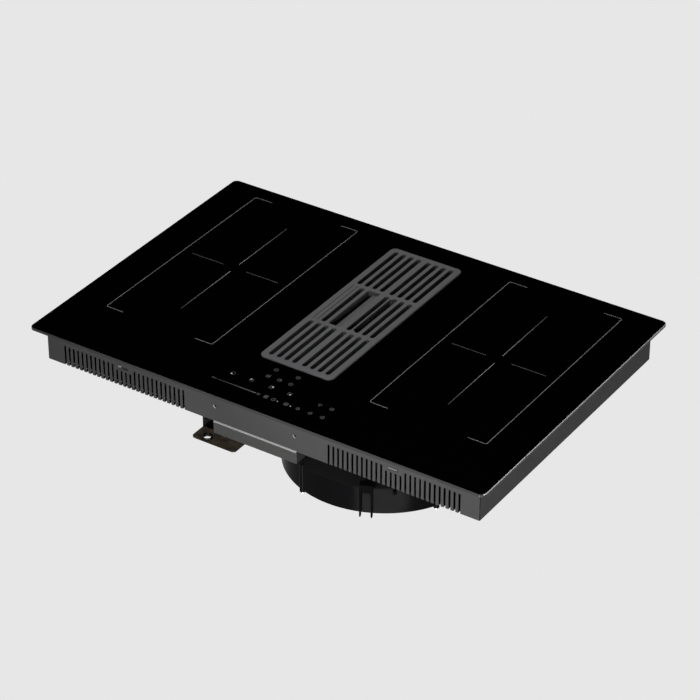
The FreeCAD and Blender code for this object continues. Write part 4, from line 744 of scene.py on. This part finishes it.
def make_hook_edges():
    """The cut edges of the two lanced hooks in the front wall, light grey: bare cut edge and painted highlight."""
    bm = bmesh.new()
    for left, right, top in HOOK_EDGES:
        outline = [(left, HOOK_FRONT), (right, HOOK_FRONT), (right, HOOK_BACK), (left, HOOK_BACK)]
        prism(bm, scaled(outline), (HOOK_BOTTOM * MM, top * MM))
    finish_piece("hook_edges", bm, EDGE_GLINT, "hob")


def make_edge_glints():
    """Painted highlights: bare steel crescents beside the front wall's two screw holes, and a light strip on the cut
    front edge of the pan, which is cut edge and painted highlight.
    """
    bm = bmesh.new()
    for x in (-SCREW_HOLE_X, SCREW_HOLE_X):
        at = Matrix.Translation((x * MM, TRAY_FRONT, SCREW_HOLE_Z * MM))
        band(bm, scaled(arc(0, 0, GLINT_RADIUS, 160, 280, 14)), GLINT_WIDTH, GLINT_LAYER, at @ FRONT_FACING)
    finish_piece("screw_hole_glints", bm, STEEL, "hob")
    bm = bmesh.new()
    pan_front, pan_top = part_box("air_pan")[0][1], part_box("air_pan")[1][2]
    loft(bm, [
        [bm.verts.new((x * MM, pan_front + y * MM, pan_top + z * MM)) for y, z in PAN_EDGE_SECTION]
        for x in (-PAN_EDGE_REACH, PAN_EDGE_REACH)
    ])
    finish_piece("pan_edge", bm, ZINC_GLINT, "hob", smooth=50)


def make_lip_collar():
    """A raised collar round the finger hole in the cup's lip."""
    bm = bmesh.new()
    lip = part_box("condensate_cup")[0][2] + LIP_SHEET
    ring(bm, scaled(COLLAR_PROFILE), Matrix.Translation(LIP_HOLE + Vector((0, 0, lip))), steps=64)
    finish_piece("lip_collar", bm, SMOKED, "cup", smooth=45)


def around_fan(reach, angle, z):
    """A point at a reach from the fan's axis."""
    turn = math.radians(angle)
    return FAN_AXIS + Vector((reach * math.cos(turn), reach * math.sin(turn), z))


def upright_plate(bm, start, end, thick, z):
    """A thin upright plate between two points."""
    run = (end - start).normalized()
    side = Vector((-run.y, run.x, 0)) * (thick / 2)
    corners = (start + side, start - side, end - side, end + side)
    prism(bm, [tuple(corner.xy) for corner in corners], z)


def make_fan_trim():
    """Moulded ribs and a motor boss with its screws, under the fan's shell."""
    bm = bmesh.new()
    for number in range(RIB_COUNT):
        angle = 360 * (number + 0.5) / RIB_COUNT
        start, end = around_fan(RIB_INNER, angle, 0), around_fan(RIB_OUTER, angle, 0)
        upright_plate(bm, start, end, RIB_THICK, RIB_LAYER)
    at = Matrix.Translation(FAN_AXIS + Vector((0, 0, FAN_UNDERSIDE)))
    for reach in RIB_RINGS:
        ring(bm, scaled(RIB_RING_SECTION, x=reach), at)
    lathe(bm, scaled(BOSS_PROFILE), at, steps=64)
    finish_piece("fan_ribs", bm, PLASTIC, "hob", smooth=35)
    seat = FAN_UNDERSIDE - BOSS_HEIGHT
    screw_heads("motor_screws", [around_fan(MOTOR_SCREW_REACH, angle, seat) for angle in MOTOR_SCREW_ANGLES])


def make_catch():
    """The small wedge-shaped catch on the fan's wall, just under its lid."""
    bm = bmesh.new()
    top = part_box("fan_lid")[0][2]
    spin = Matrix.Translation(DRUM_MIDDLE) @ Matrix.Rotation(math.radians(CATCH_ANGLE), 4, "Z")
    inner, outer = DRUM_RADIUS - CATCH_SUNK, DRUM_RADIUS + CATCH_REACH
    section = [(inner, top), (outer, top), (outer, top - CATCH_NOSE), (inner, top - CATCH_HEIGHT)]
    loft(bm, [
        [bm.verts.new(spin @ Vector((r, y, z))) for r, z in section]
        for y in (-CATCH_HALF_WIDTH, CATCH_HALF_WIDTH)
    ])
    finish_piece("lid_catch", bm, MATT, "hob")


def make_spigot_beads():
    """Two sealing beads round the outlet spigot."""
    low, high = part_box("outlet_spigot")
    bm = bmesh.new()
    for from_end in BEADS_FROM_END:
        rows = []
        for reach, shift in BEAD_SECTION:
            left, right = low[0] - reach * MM, high[0] + reach * MM
            bottom, top = low[2] - reach * MM, high[2] + reach * MM
            y = high[1] - from_end + shift * MM
            corners = ((left, bottom), (right, bottom), (right, top), (left, top))
            rows.append([bm.verts.new((x, y, z)) for x, z in corners])
        hoop(bm, rows)
    finish_piece("spigot_beads", bm, PLASTIC, "hob")


def make_filter_handles():
    """Two wire handles, of the kind that fold, on the grease filter, drawn in one fixed pose."""
    low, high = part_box("filter_frame")
    middle = (low[1] + high[1]) / 2
    for name, y in (("front", middle - HANDLE_FROM_MIDDLE), ("back", middle + HANDLE_FROM_MIDDLE)):
        curve = bpy.data.curves.new(f"filter_handle_{name}", "CURVE")
        curve.dimensions = "3D"
        curve.bevel_depth = HANDLE_WIRE
        curve.bevel_resolution = 4
        curve.use_fill_caps = True
        line = curve.splines.new("NURBS")
        line.points.add(len(HANDLE_POINTS) - 1)
        for point, (x, z) in zip(line.points, HANDLE_POINTS):
            point.co = (x * MM, y, high[2] + z * MM, 1.0)
        line.order_u = 3
        line.use_endpoint_u = True
        handle = bpy.data.objects.new(f"filter_handle_{name}", curve)
        scene.collection.objects.link(handle)
        curve.materials.append(STEEL)
        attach(handle, "filter")


make_dimples()
make_hook_edges()
make_edge_glints()
make_lip_collar()
make_fan_trim()
make_catch()
make_spigot_beads()
make_filter_handles()
screw_heads("pan_screws", [Vector(seat) * MM for seat in PAN_SCREWS])


# Studio

FLOOR_LEVEL = -0.95
FLOOR_REACH = 10.0
BACKDROP_RADIUS = 9.0
BACKDROP_TOP = 3.3
BACKDROP_STEPS = 96
PALE = (0.798, 0.798, 0.798)
BOUNCE = (0.25, 0.25, 0.25)
SKY_STRENGTH = 0.003
SUN_DISTANCE = 3.0
# The camera of the photograph: angles in degrees, lengths in metres, the lens in millimetres
CAMERA_TURN, CAMERA_RISE = 33.281, 32.76
CAMERA_DISTANCE = 4.2198
CAMERA_RIGHT, CAMERA_UP = 0.001613, -0.037226
SENSOR_WIDTH, FOCAL_LENGTH = 36.0, 149.36
CLIP_END = 100.0


def plain_pale(name):
    """A plain pale surface to the camera, which sends only a share of the light back to the part."""
    material = bpy.data.materials.new(name)
    material.use_nodes = True
    tree = material.node_tree
    tree.nodes.remove(tree.nodes["Principled BSDF"])
    glow = tree.nodes.new("ShaderNodeEmission")
    glow.inputs["Color"].default_value = (*PALE, 1.0)
    matt = tree.nodes.new("ShaderNodeBsdfDiffuse")
    matt.inputs["Color"].default_value = (*BOUNCE, 1.0)
    either = tree.nodes.new("ShaderNodeMixShader")
    path = tree.nodes.new("ShaderNodeLightPath")
    direct = path.outputs["Is Camera Ray"]
    for ray in ("Is Glossy Ray", "Is Transmission Ray"):
        either_ray = tree.nodes.new("ShaderNodeMath")
        either_ray.operation = "MAXIMUM"
        tree.links.new(direct, either_ray.inputs[0])
        tree.links.new(path.outputs[ray], either_ray.inputs[1])
        direct = either_ray.outputs[0]
    tree.links.new(direct, either.inputs[0])
    tree.links.new(matt.outputs[0], either.inputs[1])
    tree.links.new(glow.outputs[0], either.inputs[2])
    tree.links.new(either.outputs[0], tree.nodes["Material Output"].inputs["Surface"])
    return material


def make_stage():
    """A wide pale floor well below the part, and a low round wall far behind it."""
    floor = bpy.data.meshes.new("floor")
    signs = ((-1, -1), (1, -1), (1, 1), (-1, 1))
    corners = [(x * FLOOR_REACH, y * FLOOR_REACH, FLOOR_LEVEL) for x, y in signs]
    floor.from_pydata(corners, [], [(0, 1, 2, 3)])
    floor.materials.append(plain_pale("pale_floor"))
    wall = bpy.data.meshes.new("backdrop")
    verts = []
    for x, y in arc(0.0, 0.0, BACKDROP_RADIUS, 0, 360, BACKDROP_STEPS)[:-1]:
        verts += [(x, y, FLOOR_LEVEL), (x, y, BACKDROP_TOP)]
    count = len(verts)
    faces = [(i, i + 1, (i + 3) % count, (i + 2) % count) for i in range(0, count, 2)]
    wall.from_pydata(verts, [], faces)
    wall.materials.append(plain_pale("backdrop"))
    for made in (floor, wall):
        thing = bpy.data.objects.new(made.name, made)
        scene.collection.objects.link(thing)


def aim(thing, location, target=(0.0, 0.0, 0.0)):
    """Puts a lamp in place and turns it to a target."""
    thing.location = location
    thing.rotation_euler = (Vector(target) - Vector(location)).to_track_quat("-Z", "Y").to_euler()


def add_sun(name, direction, strength, angle):
    """A broad far light from a direction, which leaves no gloss."""
    lamp = bpy.data.lights.new(name, "SUN")
    lamp.energy = strength
    lamp.angle = math.radians(angle)
    thing = bpy.data.objects.new(name, lamp)
    scene.collection.objects.link(thing)
    thing.visible_glossy = False
    aim(thing, Vector(direction) * SUN_DISTANCE)


def add_softbox(name, location, target, size, power, diffuse=True, glossy=True):
    """A near rectangular light, which can be left out of the gloss or kept to the gloss alone."""
    lamp = bpy.data.lights.new(name, "AREA")
    lamp.shape = "RECTANGLE"
    lamp.size, lamp.size_y = size
    lamp.energy = power
    thing = bpy.data.objects.new(name, lamp)
    scene.collection.objects.link(thing)
    thing.visible_camera = False
    thing.visible_diffuse = thing.visible_transmission = diffuse
    thing.visible_glossy = glossy
    aim(thing, location, target)


def make_light():
    """Soft light from above and below, softboxes round the sides, and a strip that only gives gloss."""
    world = bpy.data.worlds.new("studio")
    world.use_nodes = True
    sky = world.node_tree.nodes["Background"]
    sky.inputs["Color"].default_value = (1.0, 1.0, 1.0, 1.0)
    sky.inputs["Strength"].default_value = SKY_STRENGTH
    scene.world = world
    add_sun("top", direction=(-0.45, 0.15, 0.88), strength=2.06, angle=60)
    add_sun("under", direction=(0.15, -0.15, -0.97), strength=1.2, angle=90)
    add_softbox(
        "front_box", location=(0.24, -0.95, 0.15), target=(0.15, -0.2, -0.03), size=(0.5, 0.4), power=8.6,
        glossy=False,
    )
    add_softbox(
        "side_box", location=(1.3, -0.6, 0.1), target=(0.37, -0.05, -0.03), size=(0.4, 0.4), power=6.5,
        glossy=False,
    )
    add_softbox(
        "back_box", location=(-0.6, 1.5, -0.1), target=(0.0, 0.2, -0.06), size=(0.8, 0.5), power=16,
        glossy=False,
    )
    add_softbox(
        "low_strip", location=(0.70, -1.07, -0.837), target=(0.1145, -0.0976, -0.106), size=(1.16, 0.2), power=19,
        diffuse=False,
    )


def make_camera():
    """The camera that took the photograph, solved from the outline of the glass."""
    turn, rise = math.radians(CAMERA_TURN), math.radians(CAMERA_RISE)
    back = Vector((math.sin(turn) * math.cos(rise), -math.cos(turn) * math.cos(rise), math.sin(rise)))
    right = Vector((math.cos(turn), math.sin(turn), 0.0))
    up = back.cross(right)
    lens = bpy.data.cameras.new("camera")
    lens.sensor_width = SENSOR_WIDTH
    lens.lens = FOCAL_LENGTH
    lens.clip_end = CLIP_END
    camera = bpy.data.objects.new("camera", lens)
    place = Matrix((right, up, back)).transposed().to_4x4()
    target = CAMERA_RIGHT * right + CAMERA_UP * up + Vector((0.0, 0.0, GLASS_TOP))
    place.translation = CAMERA_DISTANCE * back + target
    camera.matrix_world = place
    scene.collection.objects.link(camera)
    scene.camera = camera


make_stage()
make_light()
make_camera()
